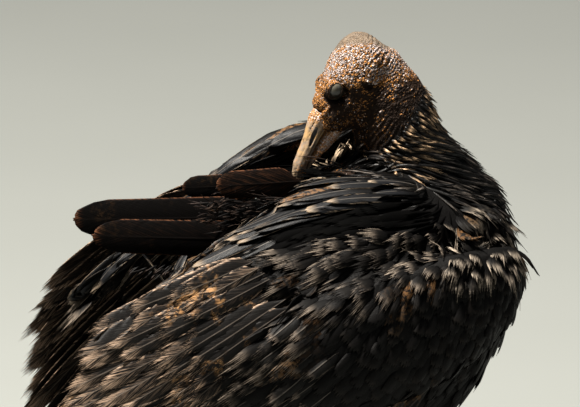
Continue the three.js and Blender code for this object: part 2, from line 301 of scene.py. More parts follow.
class Paint:
    """A material's node tree, with short calls for the nodes used here."""

    def __init__(self, name):
        self.material = bpy.data.materials.new(name)
        self.material.use_nodes = True
        self.tree = self.material.node_tree
        self.shader = self.tree.nodes["Principled BSDF"]

    def wire(self, source, socket):
        if isinstance(source, Value):
            self.tree.links.new(source.socket, socket)
        elif isinstance(source, tuple) and len(socket.default_value) == 4:
            socket.default_value = (*source, 1)
        else:
            socket.default_value = source

    def node(self, kind, inputs, **settings):
        """A new node with these sources or constants on its inputs."""
        made = self.tree.nodes.new("ShaderNode" + kind)
        for key, value in settings.items():
            setattr(made, key, value)
        for key, source in inputs.items():
            self.wire(source, made.inputs[key])
        return made

    def output(self, key, kind, inputs, **settings):
        return Value(self, self.node(kind, inputs, **settings).outputs[key])

    def split(self, kind, source):
        return [Value(self, part) for part in self.node(kind, {0: source}).outputs]

    def read(self, name, output="Fac"):
        return self.output(output, "Attribute", {}, attribute_name=name)

    def place(self):
        return self.output("Object", "TexCoord", {})

    def noise(self, vector, scale, detail=3, roughness=0.55):
        inputs = {"Vector": vector, "Scale": scale, "Detail": detail, "Roughness": roughness}
        return self.output("Fac", "TexNoise", inputs)

    def borders(self, vector, scale):
        """The distance to the border between cells."""
        inputs = {"Vector": vector, "Scale": scale}
        return self.output("Distance", "TexVoronoi", inputs, feature="DISTANCE_TO_EDGE")

    def grains(self, vector, scale):
        """The distance to each grain's border, and two numbers of its own."""
        colour = self.output("Color", "TexVoronoi", {"Vector": vector, "Scale": scale})
        own, other, _ = self.split("SeparateColor", colour)
        return self.borders(vector, scale), own, other

    def calc(self, operation, a, b=0.0):
        return self.output(0, "Math", {0: a, 1: b}, operation=operation)

    def span(self, value, low, high, to_low=0.0, to_high=1.0):
        limits = {"Value": value, "From Min": low, "From Max": high, "To Min": to_low, "To Max": to_high}
        return self.output("Result", "MapRange", limits, interpolation_type="SMOOTHSTEP")

    def blend(self, share, a, b):
        return self.output(2, "Mix", {0: share, 6: a, 7: b}, data_type="RGBA")

    def bump(self, height, distance, strength=1.0, **below):
        inputs = {"Height": height, "Distance": distance, "Strength": strength, **below}
        return self.output("Normal", "Bump", inputs)

    def finish(self, **sockets):
        for name, value in sockets.items():
            self.wire(value, self.shader.inputs[name.replace("_", " ")])
        return self.material

    def barbs(self):
        """Fine lines that run out from the shaft at a narrow angle, from the vane's own coordinates."""
        x, y, z = self.split("SeparateXYZ", self.read("vane", "Vector"))
        lined = self.output(0, "CombineXYZ", {0: y - abs(x) * 2.6, 1: x * 0.25, 2: z})
        return self.noise(lined, 520, 4, 0.7)

    def mud(self, place):
        """Where dried mud clings: patches, broken up into crumbs. The same on skin and feathers."""
        patches = self.span(self.noise(place, 30), 0.55, 0.68)
        return patches * self.span(self.noise(place, 230, 4, 0.7), 0.46, 0.58)


MUD = (0.58, 0.255, 0.07)
MUD_PALE = (0.46, 0.29, 0.15)
# This pale colour is partly scurf and partly a painted highlight, standing for grey glints of light on the
# crusted skin.
SCURF_AND_HIGHLIGHT = (0.7, 0.6, 0.57)
SPECKS = 980  # specks of crust in a metre


def crust(p, ground):
    """Specks of dried mud and scurf over dark skin, packed on the crown, thin on the cheek; where they lie
    thick and pale is partly painted highlight, where thin partly painted shade.

    Returns their colour and height.
    """
    place = p.read("grain_place", "Vector")
    zone, scurf_and_highlight = p.read("zone"), p.read("scurf_and_highlight")
    wander = p.noise(place, 140) - 0.5
    crumble = p.noise(place, 2300, 3, 0.7)
    colour = ground
    for scale, low, high in ((SPECKS * 1.9, 0.72, 0.84), (SPECKS, 0.56, 0.7)):
        border, own, other = p.grains(place, scale)
        lit = p.span(own + zone * 0.4 + wander * 1.2, low, high)
        # some grains take the pale colour, which is partly scurf and partly a painted highlight
        grain = p.blend(p.span(other + wander + scurf_and_highlight, 0.68, 0.85), MUD, SCURF_AND_HIGHLIGHT)
        dust = p.blend(p.span(crumble, 0.35, 0.65), p.blend(0.7, grain, ground), grain)
        rough_border = border + (crumble - 0.5) * 0.25
        colour = p.blend(lit * p.span(rough_border, 0.06, 0.2), colour, dust)
        height = p.span(border, 0.0, 0.25) * (lit + 0.3)
    return colour, height


def skin_paint():
    """Crusted skin on the face and nape, worn and dusty on the dome, and near black under the feathers: partly
    the skin's own dark colour, partly painted shade in the gaps of the coat.
    """
    p = Paint("bare skin and down")
    place = p.place()
    tone = p.noise(place, 60)
    crusted, height = crust(p, p.blend(tone, (0.004, 0.0024, 0.0016), (0.02, 0.0105, 0.006)))
    worn = p.blend(tone, (0.075, 0.056, 0.041), (0.2, 0.155, 0.112))
    skin = p.blend(p.read("dusty") * 0.92, crusted, worn)
    grain = p.noise(place, 1100, 4, 0.7)
    # under the feathers the skin is near black, partly its own colour and partly painted shade in the gaps
    # between feathers
    return p.finish(
        Base_Color=p.blend(p.span(p.read("bare"), -0.004, 0.004), (0.0015, 0.0013, 0.0012), skin),
        Roughness=p.span(grain, 0.3, 0.7, 0.45, 0.85),
        Normal=p.bump(height, 0.0006, Normal=p.bump(grain, 0.0004, 0.8)),
        Specular_IOR_Level=0.1,
    )


def coat_paint(name, dark, worn, gloss, mud_share, margin=0.6, shine=0.3):
    """Body feathers: near black, worn paler beyond margin, with mud where it clings, and black towards the root
    as painted shade in the gaps between feathers.
    """
    p = Paint(name)
    place, along, shade = p.place(), p.read("along"), p.read("shade")
    outer = p.span(abs(p.read("across")), 0.5 + 0.5 * margin, 1.0)
    edge = p.calc("MAXIMUM", p.span(along, margin, 1.0), outer)
    barbs = p.barbs()
    wear = edge * p.span(shade + p.noise(place, 420, 3, 0.6), 0.7, 1.35) * p.span(barbs, 0.3, 0.65, 0.2, 1.0)
    # black towards each feather's root: painted shade in the gaps between overlapping feathers
    base = p.blend(p.span(along, 0.15, 0.7), (0.001, 0.0009, 0.0009), p.blend(wear, dark, worn))
    dirt = p.mud(p.read("root", "Vector")) * p.span(p.noise(place, 300, 3, 0.7), 0.42, 0.58) * mud_share
    colour = p.blend(dirt, base, p.blend(shade, MUD, MUD_PALE))
    return p.finish(
        # pale shafts: partly their own colour, partly a painted glint
        Base_Color=p.blend(p.read("shaft") * 0.6, colour, (0.16, 0.14, 0.12)),
        Roughness=dirt * 0.4 + gloss,
        Normal=p.bump(barbs, 0.0003, 0.8),
        Specular_IOR_Level=shine,
    )


def vane_paint(name, dark, worn, gloss, mud_share, shaft_colour=(0.075, 0.06, 0.05), margin=0.75, shine=0.3):
    """Long feathers: barbs slant out from a pale shaft, whose paleness is partly its own colour and partly a
    painted glint, and the margins are worn and muddy.
    """
    p = Paint(name)
    place = p.place()
    barbs = p.barbs()
    tone = p.noise(place, 45)
    along_edge = p.span(p.read("along"), 0.2 + 0.8 * margin, 1.0)
    edge = p.calc("MAXIMUM", along_edge, p.span(abs(p.read("across")), margin, 1.0))
    wear = (edge * 0.55 + (tone + p.read("shade")) * 0.3) * p.span(barbs, 0.34, 0.62, 0.1, 1.0)
    base = p.blend(p.span(wear, 0.25, 0.85), dark, worn)
    dirt = p.mud(place) * p.span(barbs, 0.35, 0.55) * mud_share
    colour = p.blend(dirt, base, p.blend(tone, MUD, MUD_PALE))
    return p.finish(
        # pale shafts: partly their own colour, partly a painted glint
        Base_Color=p.blend(p.read("shaft") * 0.8, colour, shaft_colour),
        Roughness=p.span(barbs, 0.2, 0.8, gloss - 0.08, gloss + 0.12) + dirt * 0.35,
        Normal=p.bump(barbs, 0.0004, 0.7),
        Specular_IOR_Level=shine,
    )


def horn_paint(name):
    """Pale horn, darkened in the grooves, with painted shade in the nostril hole and between the lower bill's
    ridges; the skin at its base is crusted like the head's.
    """
    p = Paint(name)
    place = p.place()
    tone = p.noise(place, 90, 4, 0.6)
    fine = p.noise(place, 500, 4, 0.7)
    horn = p.blend(p.span(tone, 0.4, 0.6), (0.32, 0.2, 0.09), (0.2, 0.17, 0.14))
    colour = p.blend(p.span(tone, 0.5, 0.64) * p.span(fine, 0.4, 0.62), horn, (0.4, 0.18, 0.05))
    grime = p.span(p.noise(place, 260, 4, 0.7), 0.52, 0.68, 0.0, 0.85)
    colour = p.blend(grime, colour, (0.06, 0.035, 0.02))
    # near black on the grooves: painted shade in the nostril and in the lower bill's furrows, dark lines along
    # the upper bill's grooves
    colour = p.blend(p.read("groove"), colour, (0.012, 0.008, 0.006))
    return p.finish(
        Base_Color=p.blend(p.read("fleshy"), colour, crust(p, (0.03, 0.016, 0.007))[0]),
        Roughness=p.span(fine, 0.3, 0.7, 0.3, 0.55),
        Normal=p.bump(fine, 0.0003, 0.7),
    )


def eye_paint():
    """A near black iris under a wet coat, with the pale film of the third lid drawn partly over it from above;
    the film's paleness is partly a painted highlight.
    """
    p = Paint("eye")
    tone = p.noise(p.place(), 500)
    iris = p.blend(tone, (0.007, 0.0065, 0.004), (0.02, 0.019, 0.013))
    film = p.blend(tone, (0.06, 0.053, 0.038), (0.13, 0.12, 0.095))
    colour = p.blend(p.read("film"), iris, film)
    return p.finish(
        Base_Color=p.blend(p.span(p.read("rim"), 0.25, 0.4), colour, (0.006, 0.005, 0.004)),
        Roughness=0.4,
        Specular_IOR_Level=0.1,
        Coat_Weight=0.8,
        Coat_Roughness=0.22,
    )


def leg_paint():
    """Chalky scales with dark joints between them."""
    p = Paint("leg skin")
    place = p.place()
    scales = p.borders(place, 420)
    tone = p.noise(place, 50, 4, 0.6)
    chalk = p.blend(tone, (0.17, 0.155, 0.14), (0.42, 0.4, 0.36))
    return p.finish(
        Base_Color=p.blend(p.span(scales, 0.0, 0.18), (0.06, 0.05, 0.045), chalk),
        Roughness=p.span(tone, 0.3, 0.7, 0.55, 0.8),
        Normal=p.bump(p.span(scales, 0.0, 0.25), 0.0006, 0.8),
    )


def claw_paint():
    p = Paint("claw horn")
    tone = p.noise(p.place(), 150, 4, 0.6)
    return p.finish(
        Base_Color=p.blend(tone, (0.015, 0.013, 0.012), (0.07, 0.06, 0.05)),
        Roughness=p.span(tone, 0.3, 0.7, 0.28, 0.5),
        Normal=p.bump(tone, 0.0003, 0.5),
    )


def floor_paint():
    p = Paint("floor")
    tone = p.noise(p.place(), 3, 2)
    return p.finish(Base_Color=p.blend(tone, (0.185, 0.195, 0.185), (0.2, 0.21, 0.2)), Roughness=0.8)


FLOOR_REACH = 30.0


def add_floor():
    corners = np.array([[-1, -1, 0], [1, -1, 0], [1, 1, 0], [-1, 1, 0]]) * FLOOR_REACH
    floor = make_object("floor", corners, np.array([[0, 1, 2, 3]]))
    floor.data.materials.append(floor_paint())


# ---- Which way the coat lies ----
FLESH = [
    name
    for name in sorted(NODES)
    if name.startswith(("head", "neck", "trunk", "mantle", "tail_coverts", "wing_arm", "scapulars", "thigh"))
]


def lie_of(name, points):
    """The direction in which feathers rooted on one CAD node point, before it is laid on the skin."""
    share = shares(name, points)
    ones = np.ones((len(points), 1))
    if name == "head":
        return ones * HEAD_BACK
    if name == "neck":
        level = smoothstep(0.78, 0.64, share[:, 2:])
        sideways = mixed(np.array([0.7, 0, -0.72]), np.array([0.98, 0, -0.18]), level)
        lie = mixed(sideways, np.array([0.3, 0, -0.95]), smoothstep(0.76, 0.98, share[:, :1]))
        low_flank = smoothstep(WING_FRONT_TOP + 4 * MM, WING_FRONT_TOP - 4 * MM, points[:, 2:])
        low_flank = low_flank * ramp(10, 20, np.abs(points[:, 1:2]))
        return mixed(lie, np.array([-0.3, 0, -0.95]), low_flank)
    if name == "trunk":
        return ones * unit([-0.81, 0, -0.59])
    if name == "mantle":
        turn = smoothstep(0.7, 0.78, share[:, :1])
        return mixed(np.array([-0.96, 0, -0.28]), np.array([0.98, 0, -0.18]), turn)
    if name == "tail_coverts":
        return ones * unit([-0.78, 0, -0.63])
    if name.startswith("scapulars"):
        droop = 0.0 if name.endswith("right") else 0.24
        rear, front = np.array([-0.92, 0, -0.4 - droop]), np.array([-0.99, 0, -0.12 - droop])
        backwards = mixed(rear, front, smoothstep(0.35, 0.7, share[:, :1]))
        over_shoulder = smoothstep(SHOULDER - 30 * MM, SHOULDER + 20 * MM, points[:, :1])
        return mixed(backwards, np.array([0.45, 0, -0.9]), over_shoulder)
    if name.startswith("wing_arm"):
        steep = np.radians(mixed(30.0, 66.0, smoothstep(0.15, 0.75, share[:, :1])))
        return np.hstack([-np.cos(steep), 0 * steep, -np.sin(steep)])
    return ones * unit([-0.25, 0, -1])


REGION_BLEND = 6 * MM  # over which the lie of one region runs into the next
TRIES = 5  # roots drawn for each one that there is room for
NEIGHBOURS = [(x, y, z) for x in (-1, 0, 1) for y in (-1, 0, 1) for z in (-1, 0, 1)]


class Surface:
    """A skin to root feathers in: its triangles, normals, the lie of the coat and each point's region."""

    def __init__(self, mesh):
        self.points, self.tris = mesh_arrays(mesh)
        self.bake_places = triangle_places(mesh)
        corners = self.points[self.tris]
        crossed = np.cross(corners[:, 1] - corners[:, 0], corners[:, 2] - corners[:, 0])
        self.areas = np.linalg.norm(crossed, axis=1) / 2
        self.normals = np.zeros_like(self.points)
        for k in range(3):
            np.add.at(self.normals, self.tris[:, k], crossed)
        self.normals = unit(self.normals)
        self.tree = tree_of(self.points, self.tris)
        self.find_regions()

    def find_regions(self):
        distances = []
        for name in FLESH:
            points, tris = mesh_arrays(NODES[name].data)
            tree = tree_of(points, tris)
            distances.append([tree.find_nearest(p)[3] for p in self.points])
        distances = np.array(distances)
        self.region = distances.argmin(0)
        weights = np.exp(-(distances - distances.min(0)) / REGION_BLEND)
        lie = sum(w[:, None] * lie_of(name, self.points) for w, name in zip(weights, FLESH))
        lie = lie - self.normals * np.sum(lie * self.normals, axis=1, keepdims=True)
        self.lie = unit(lie)

    def scatter(self, wanted, spacing, seed):
        """Roots spread over the faces where wanted(points, region names) is true, at least spacing apart."""
        local = np.random.default_rng(seed)
        middles = self.points[self.tris].mean(1)
        regions = self.region[self.tris[:, 0]]
        keep = np.flatnonzero(wanted(middles, regions))
        gaps = spacing(middles[keep])
        chances = self.areas[keep] / gaps**2
        count = int(chances.sum() * TRIES) + 1
        picks = keep[local.choice(len(keep), count, p=chances / chances.sum())]
        a, b = local.random((2, count, 1))
        flip = (a + b) > 1
        a, b = np.where(flip, 1 - a, a), np.where(flip, 1 - b, b)
        corners = self.points[self.tris[picks]]
        roots = corners[:, 0] * (1 - a - b) + corners[:, 1] * a + corners[:, 2] * b
        gaps = spacing(roots)
        cell = float(gaps.max())
        taken, chosen = {}, []
        for i, (root, gap) in enumerate(zip(roots, gaps)):
            home = tuple((root // cell).astype(int))
            cells = (tuple(np.add(home, step)) for step in NEIGHBOURS)
            near = (other for cell_near in cells for other in taken.get(cell_near, ()))
            if all(sum((root - roots[j]) ** 2) > gap * gap for j in near):
                taken.setdefault(home, []).append(i)
                chosen.append(i)
        picks = picks[chosen]
        first = self.tris[picks, 0]
        return SimpleNamespace(root=roots[chosen], up=self.normals[first], lie=self.lie[first], face=picks)


# ---- Feathers ----
def closed_sheet(faces, count):
    """Top faces, their underside and the walls between them; the underside's points follow the top's."""
    edges = np.concatenate([faces[:, [0, 1]], faces[:, [1, 2]], faces[:, [2, 0]]])
    keys = edges[:, 0].astype(np.int64) * count + edges[:, 1]
    back = edges[:, 1].astype(np.int64) * count + edges[:, 0]
    rim = edges[~np.isin(keys, back)]
    u, v = rim[:, 0], rim[:, 1]
    walls = np.concatenate([np.stack([v, u, u + count], 1), np.stack([v, u + count, v + count], 1)])
    return np.concatenate([faces, faces[:, ::-1] + count, walls])


def cut_feather(**changes):
    """How one kind of feather is cut. Lengths are shares of its length, heights shares of a strand's width."""
    usual = dict(
        rows=5,
        columns=7,
        fringe=0.25,  # how much of the length at the end is loose spikes
        rounding=0.3,  # how much shorter the margins are than the middle
        ragged=0.06,  # how unevenly the strands end
        slant=0.0,  # how far a barb runs towards the tip on its way out
        splits=0,  # gaps between the barbs
        camber=0.28,
        ridge=0.5,  # how far each strand stands up
        clumps=0.0,  # how far bundles of barbs stand up, in millimetres
        shaft=0.0,  # radius of the shaft, in millimetres
        waist=0.45,
        taper=0.0,
        steps=5,
        thick=0.22,
        variants=4,
    )
    usual.update(changes)
    return SimpleNamespace(**usual)


def vane_grid(cut, local):
    """One variant of a feather: along and across of each point, its relief and its closed faces."""
    half = np.linspace(0, 1, (cut.columns + 1) // 2)
    if cut.shaft:
        half = np.concatenate([[0, 0.05, 0.08], half[1:]])
    spread = np.concatenate([-half[:0:-1], half])
    rows, columns = cut.rows, len(spread)
    strand = np.where(np.arange(columns) % 2 == 0, 1.0, -1.0) * cut.ridge
    ends = 1 - cut.rounding * (1 - np.sqrt(1 - 0.97 * spread**2)) + local.normal(0, cut.ragged, columns)
    row_share = np.linspace(0, 1 - cut.fringe, rows)[:, None]
    out = cut.slant * np.abs(spread)[None, :]
    along = out + row_share * (ends[None, :] - out)
    across = np.tile(spread, (rows, 1))
    clump = local.normal(0, cut.clumps * MM, (rows, 2))
    relief = np.where(across < 0, clump[:, :1], clump[:, 1:]) * np.abs(across) ** 0.6
    index = np.arange(rows * columns).reshape(rows, columns)
    open_cells = np.ones((rows - 1, columns - 1), bool)
    for _ in range(cut.splits):
        row = int(local.integers(rows // 4, rows - 2))
        side = local.choice([-1, 1])
        inner = local.uniform(0.15, 0.6)
        reach = np.clip((across * side - inner) / (1 - inner), 0, 1)
        gap = np.arange(rows)[:, None] - row - 0.5
        along = along + reach * np.sign(gap) * np.exp(-np.abs(gap) / 1.6) * local.uniform(0.001, 0.005)
        open_cells[row] &= spread[:-1] * side < inner if side > 0 else spread[1:] * side < inner
    a, b, c, d = (g[open_cells] for g in (index[:-1, :-1], index[:-1, 1:], index[1:, 1:], index[1:, :-1]))
    faces = np.concatenate([np.stack([a, b, c], 1), np.stack([a, c, d], 1)])
    along, across, relief = along.ravel(), across.ravel(), relief.ravel()
    strand = np.tile(strand, rows)
    if cut.fringe:
        tips = rows * columns + np.arange(columns - 1)
        faces = np.concatenate([faces, np.stack([index[-1, :-1], index[-1, 1:], tips], 1)])
        long = (ends[:-1] + ends[1:]) / 2 + local.normal(0, cut.ragged, columns - 1)
        along = np.append(along, np.maximum(long, along[index[-1, :-1]] + 0.03))
        across = np.append(across, (spread[:-1] + spread[1:]) / 2)
        relief = np.append(relief, np.zeros(columns - 1))
        strand = np.append(strand, np.zeros(columns - 1))
    return SimpleNamespace(
        along=along, across=across, relief=relief, strand=strand, faces=closed_sheet(faces, len(along))
    )


def half_width(t, cut):
    """Share of the full half width at t along the feather."""
    rise = cut.waist + (1 - cut.waist) * smoothstep(0, 0.3, t)
    return rise * (1 - cut.taper * np.clip(t, 0, 1) ** 1.6)


def fill_vanes(lines, ups, widths, rolls, grid, cut):
    """Points of one variant laid along many centre lines, and how far along each one lies."""
    steps = lines.shape[1] - 1
    t = np.tile(grid.along, (len(lines), 1))
    i = np.clip((t * steps).astype(int), 0, steps - 1)
    share = (t * steps - i)[..., None]
    rows = np.arange(len(lines))[:, None]
    middle = lines[rows, i] * (1 - share) + lines[rows, i + 1] * share
    tangents = np.gradient(lines, axis=1)
    tangent = tangents[rows, i] * (1 - share) + tangents[rows, i + 1] * share
    up = unit(ups[rows, i] * (1 - share) + ups[rows, i + 1] * share)
    side = unit(np.cross(tangent, up))
    up = unit(np.cross(side, tangent))
    half = (widths / 2)[:, None] * half_width(t, cut)
    sideways = grid.across[None, :] * half
    strand_width = widths[:, None] / cut.columns
    height = grid.relief[None, :] - cut.camber * grid.across[None, :] ** 2 * half
    height = height + grid.strand[None, :] * strand_width * 0.5 + np.tan(rolls)[:, None] * sideways
    if cut.shaft:
        core = np.clip(1 - np.abs(grid.across[None, :]) / 0.06, 0, 1)
        height = height + core * cut.shaft * MM * (1.15 - np.clip(t, 0, 1))
    place = middle + side * sideways[..., None] + up * height[..., None]
    return np.concatenate([place, place - up * cut.thick * MM], axis=1), t


def lay_feathers(name, slot, paint, lines, ups, widths, cut, seed, bake, roots=None, rolls=None, replaced=()):
    """One piece of feathers along given centre lines.

    ups is which way each vane faces, for every point of its line or one for all. bake gives each feather's
    place in the UV map.
    """
    local = np.random.default_rng(seed)
    count = len(lines)
    ups = np.broadcast_to(ups, lines.shape)
    widths = np.broadcast_to(widths, count)
    rolls = local.normal(0, 0.15, count) if rolls is None else rolls
    roots = lines[:, 0] if roots is None else roots
    shade = local.random(count)
    batches, total = [], 0
    for variant in range(min(cut.variants, count)):
        grid = vane_grid(cut, local)
        chosen = np.arange(variant, count, cut.variants)
        place, t = fill_vanes(lines[chosen], ups[chosen], widths[chosen], rolls[chosen], grid, cut)
        size = place.shape[1]
        starts = total + np.arange(len(chosen)) * size
        total += place.shape[0] * size
        t = np.concatenate([t, t], axis=1).ravel()
        across = np.tile(grid.across, len(chosen) * 2)
        length = np.linalg.norm(np.diff(lines[chosen], axis=1), axis=2).sum(1)
        rise = np.repeat(length, size) * t
        aside = across * np.repeat(widths[chosen] / 2, size)
        batches.append({
            "points": place.reshape(-1, 3),
            "faces": (grid.faces[None] + starts[:, None, None]).reshape(-1, 3),
            "along": t,
            "across": across,
            "shade": np.repeat(shade[chosen], size),
            "root": np.repeat(roots[chosen], size, axis=0),
            "vane": np.stack([aside, rise, np.repeat(chosen * 0.37, size)], 1),
            "shaft": np.clip(1 - np.abs(across) / 0.07, 0, 1) * (cut.shaft > 0),
            "uv": bake(chosen, across, t, size),
        })
    joined = {key: np.concatenate([batch[key] for batch in batches]) for key in batches[0]}
    made = make_object(name, joined.pop("points"), joined.pop("faces"))
    places = joined.pop("uv")
    for key, values in joined.items():
        give_attribute(made, key, values)
    give_bake_map(made, np.clip(places, 0.001, 0.999))
    return add_piece(made, slot, paint, *replaced)


PATCH_REACH = 0.0014  # from the middle of a coat feather's patch of the bake map to its edge
CELL_SHARE = (0.88, 0.94)  # how much of its cell's width and height a long feather takes


def patches(places):
    """Bake places for a coat: each feather is a small patch where it is rooted in the skin's own map."""

    def bake(chosen, across, t, size):
        middle = np.repeat(places[chosen], size, axis=0)
        return middle + np.stack([across, np.clip(t, 0, 1) * 2 - 1], 1) * PATCH_REACH

    return bake


def panels(count):
    """Bake places for a few long feathers: each one has its own cell of the map."""
    columns = math.ceil(math.sqrt(count * 3))
    rows = math.ceil(count / columns)

    def bake(chosen, across, t, size):
        column = np.repeat(chosen % columns, size)
        row = np.repeat(chosen // columns, size)
        u = (column + 0.5 + across * CELL_SHARE[0] / 2) / columns
        v = (row + 0.03 + np.clip(t, 0, 1) * CELL_SHARE[1]) / rows
        return np.stack([u, v], 1)

    return bake


FACES_ON = 0.25  # skin that faces more aside than this is the far side of a fold, and isn't followed


def march(surface, spots, lengths, rise, steps, stiff, bend):
    """Centre lines that run from each root along the lie of the coat and rise off the skin by rise."""
    count = len(spots.root)
    lines = np.empty((count, steps + 1, 3))
    ups = np.empty((count, steps + 1, 3))
    for n in range(count):
        here, up, lie = Vector(spots.root[n]), Vector(spots.up[n]), Vector(spots.lie[n])
        stride = lengths[n] / steps
        for s in range(steps + 1):
            lines[n, s] = here + up * (rise[n] * s / steps)
            ups[n, s] = up
            ahead = here + lie * stride
            found, normal, face, _ = surface.tree.find_nearest(ahead)
            if normal.dot(up) > FACES_ON:
                outside = (ahead - found).dot(normal)
                ahead = found if outside < 0 else ahead.lerp(found, 1 - stiff)
                up = (up * stiff + normal * (1 - stiff)).normalized()
            lie = lie.lerp(Vector(surface.lie[surface.tris[face, 0]]), bend)
            lie = (lie - up * lie.dot(up)).normalized()
            here = ahead
    return lines, ups


def coat(name, surface, paint, cut, where, spacing, length, width, lift, seed,
         stiff=0.5, bend=0.3, stray=0.1, roll=0.0):
    """One piece of the coat. where picks the skin; the sizes are in millimetres, as numbers or functions."""
    local = np.random.default_rng(seed)

    def sized(amount, points):
        return (amount(points) if callable(amount) else np.full(len(points), float(amount))) * MM

    spots = surface.scatter(where, lambda points: sized(spacing, points), seed)
    count = len(spots.root)
    spots.lie = unit(spots.lie + np.cross(spots.up, spots.lie) * local.normal(0, stray, (count, 1)))
    lengths = sized(length, spots.root) * local.uniform(0.82, 1.15, count)
    widths = sized(width, spots.root) * local.uniform(0.85, 1.15, count)
    rise = sized(lift, spots.root) * local.uniform(0.4, 1.6, count)
    lines, ups = march(surface, spots, lengths, rise, cut.steps, stiff, bend)
    places = surface.bake_places[spots.face]
    rolls = local.normal(roll, 0.14, count)
    lay_feathers(name, "plumage", paint, lines, ups, widths, cut, seed, patches(places), spots.root, rolls)


# ---- Skin ----
SKIN_VOXEL = 2.8 * MM
THIN_SHARE = 0.33  # how much of a thin part's thickness the skin may sink
HEAD_CUTS = 5
# The balls sit a little nearer the brow than their solids, and nearer the head's middle.
EYE_SHIFT = 0.5 * MM * HEAD_BACK + 2.5 * MM * HEAD_CROWN
EYE_SINK = 2.4 * MM
# Up the back of the skull and over to its far side, in head terms. Beyond the edge along that way the skin is
# smooth and dusty, before it the skin is crusted.
DUSTY_WAY = np.array([0.80, 0.27, 0.53])
DUSTY_EDGE = 20.5 * MM
# The pale third lid is drawn in from this side of the ball, its upper side, where its paleness also stands for
# a painted highlight.
FILM_AND_HIGHLIGHT_WAY = unit(0.28 * HEAD_BACK + 0.59 * HEAD_CROWN)
EYE_RADIUS = (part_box("eye_left")[1][0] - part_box("eye_left")[0][0]) / 2


def coat_depth(points):
    """How far the skin lies below the flesh solids, to leave room for the feathers."""
    bare = bareness(points)
    return mixed(5.0, 0.3, smoothstep(-0.045, 0.002, bare)) * MM


def shrink(mesh):
    """Move the skin inwards by the coat's depth, but never through a thin part."""
    points, tris = mesh_arrays(mesh)
    tree = tree_of(points, tris)
    normals = read(mesh.vertices, "normal", 3)
    depth = coat_depth(points)
    for i, (point, normal) in enumerate(zip(points, normals)):
        start = Vector(point) - Vector(normal) * 0.5 * MM  # just inside, so that it doesn't hit its own face
        through = tree.ray_cast(start, -Vector(normal), 40 * MM)[3]
        if through is not None:
            depth[i] = min(depth[i], through * THIN_SHARE)
    a, b = read(mesh.edges, "vertices", 2, np.int32).T
    degree = np.bincount(a, minlength=len(points)) + np.bincount(b, minlength=len(points))
    for _ in range(6):
        total = np.bincount(a, depth[b], len(points)) + np.bincount(b, depth[a], len(points))
        average = (depth + total / np.maximum(degree, 1)) / 2
        depth = (np.minimum(depth, average) + average) / 2
    set_points(mesh, points - normals * depth[:, None])


def unwrap(mesh):
    """A UV map named OFBake over the skin's own shape."""
    holder = link("unwrap", mesh)
    bpy.context.view_layer.objects.active = holder
    holder.select_set(True)
    mesh.uv_layers.new(name="OFBake")
    bpy.ops.object.mode_set(mode="EDIT")
    bpy.ops.mesh.select_all(action="SELECT")
    bpy.ops.uv.smart_project(angle_limit=math.radians(66), island_margin=0.002)
    bpy.ops.object.mode_set(mode="OBJECT")
    return holder


def triangle_places(mesh):
    """The middle of each triangle in the bake map."""
    uv = read(mesh.uv_layers["OFBake"].data, "uv", 2)
    return uv[read(mesh.loop_triangles, "loops", 3, np.int32)].mean(1)


def refine_head(mesh):
    """Finer faces over the head and the bare nape."""
    fine = bmesh.new()
    fine.from_mesh(mesh)
    fine.verts.ensure_lookup_table()
    points = np.array([v.co for v in fine.verts])
    inside = bareness(points) > -12 * MM
    edges = [e for e in fine.edges if inside[e.verts[0].index] and inside[e.verts[1].index]]
    bmesh.ops.subdivide_edges(fine, edges=edges, cuts=HEAD_CUTS, use_grid_fill=True)
    bmesh.ops.triangulate(fine, faces=[f for f in fine.faces if len(f.verts) > 4])
    near = [v for v in fine.verts if bareness(np.array(v.co)) > -8 * MM]
    for _ in range(8):
        bmesh.ops.smooth_vert(fine, verts=near, factor=0.5, use_axis_x=True, use_axis_y=True, use_axis_z=True)
    fine.to_mesh(mesh)
    fine.free()


def noise_of(points, scale, octaves=1):
    values = np.zeros(len(points))
    for octave in range(octaves):
        step = 2.0**octave
        values += [noise.noise(p) / step for p in (points * scale * step).tolist()]
    return values


def cells_of(points, scale):
    """0 at the border between grains to 1 in the middle of one."""
    found = [noise.voronoi(p)[0] for p in (points * scale).tolist()]
    return smoothstep(0.02, 0.42, np.array([away[1] - away[0] for away in found]))


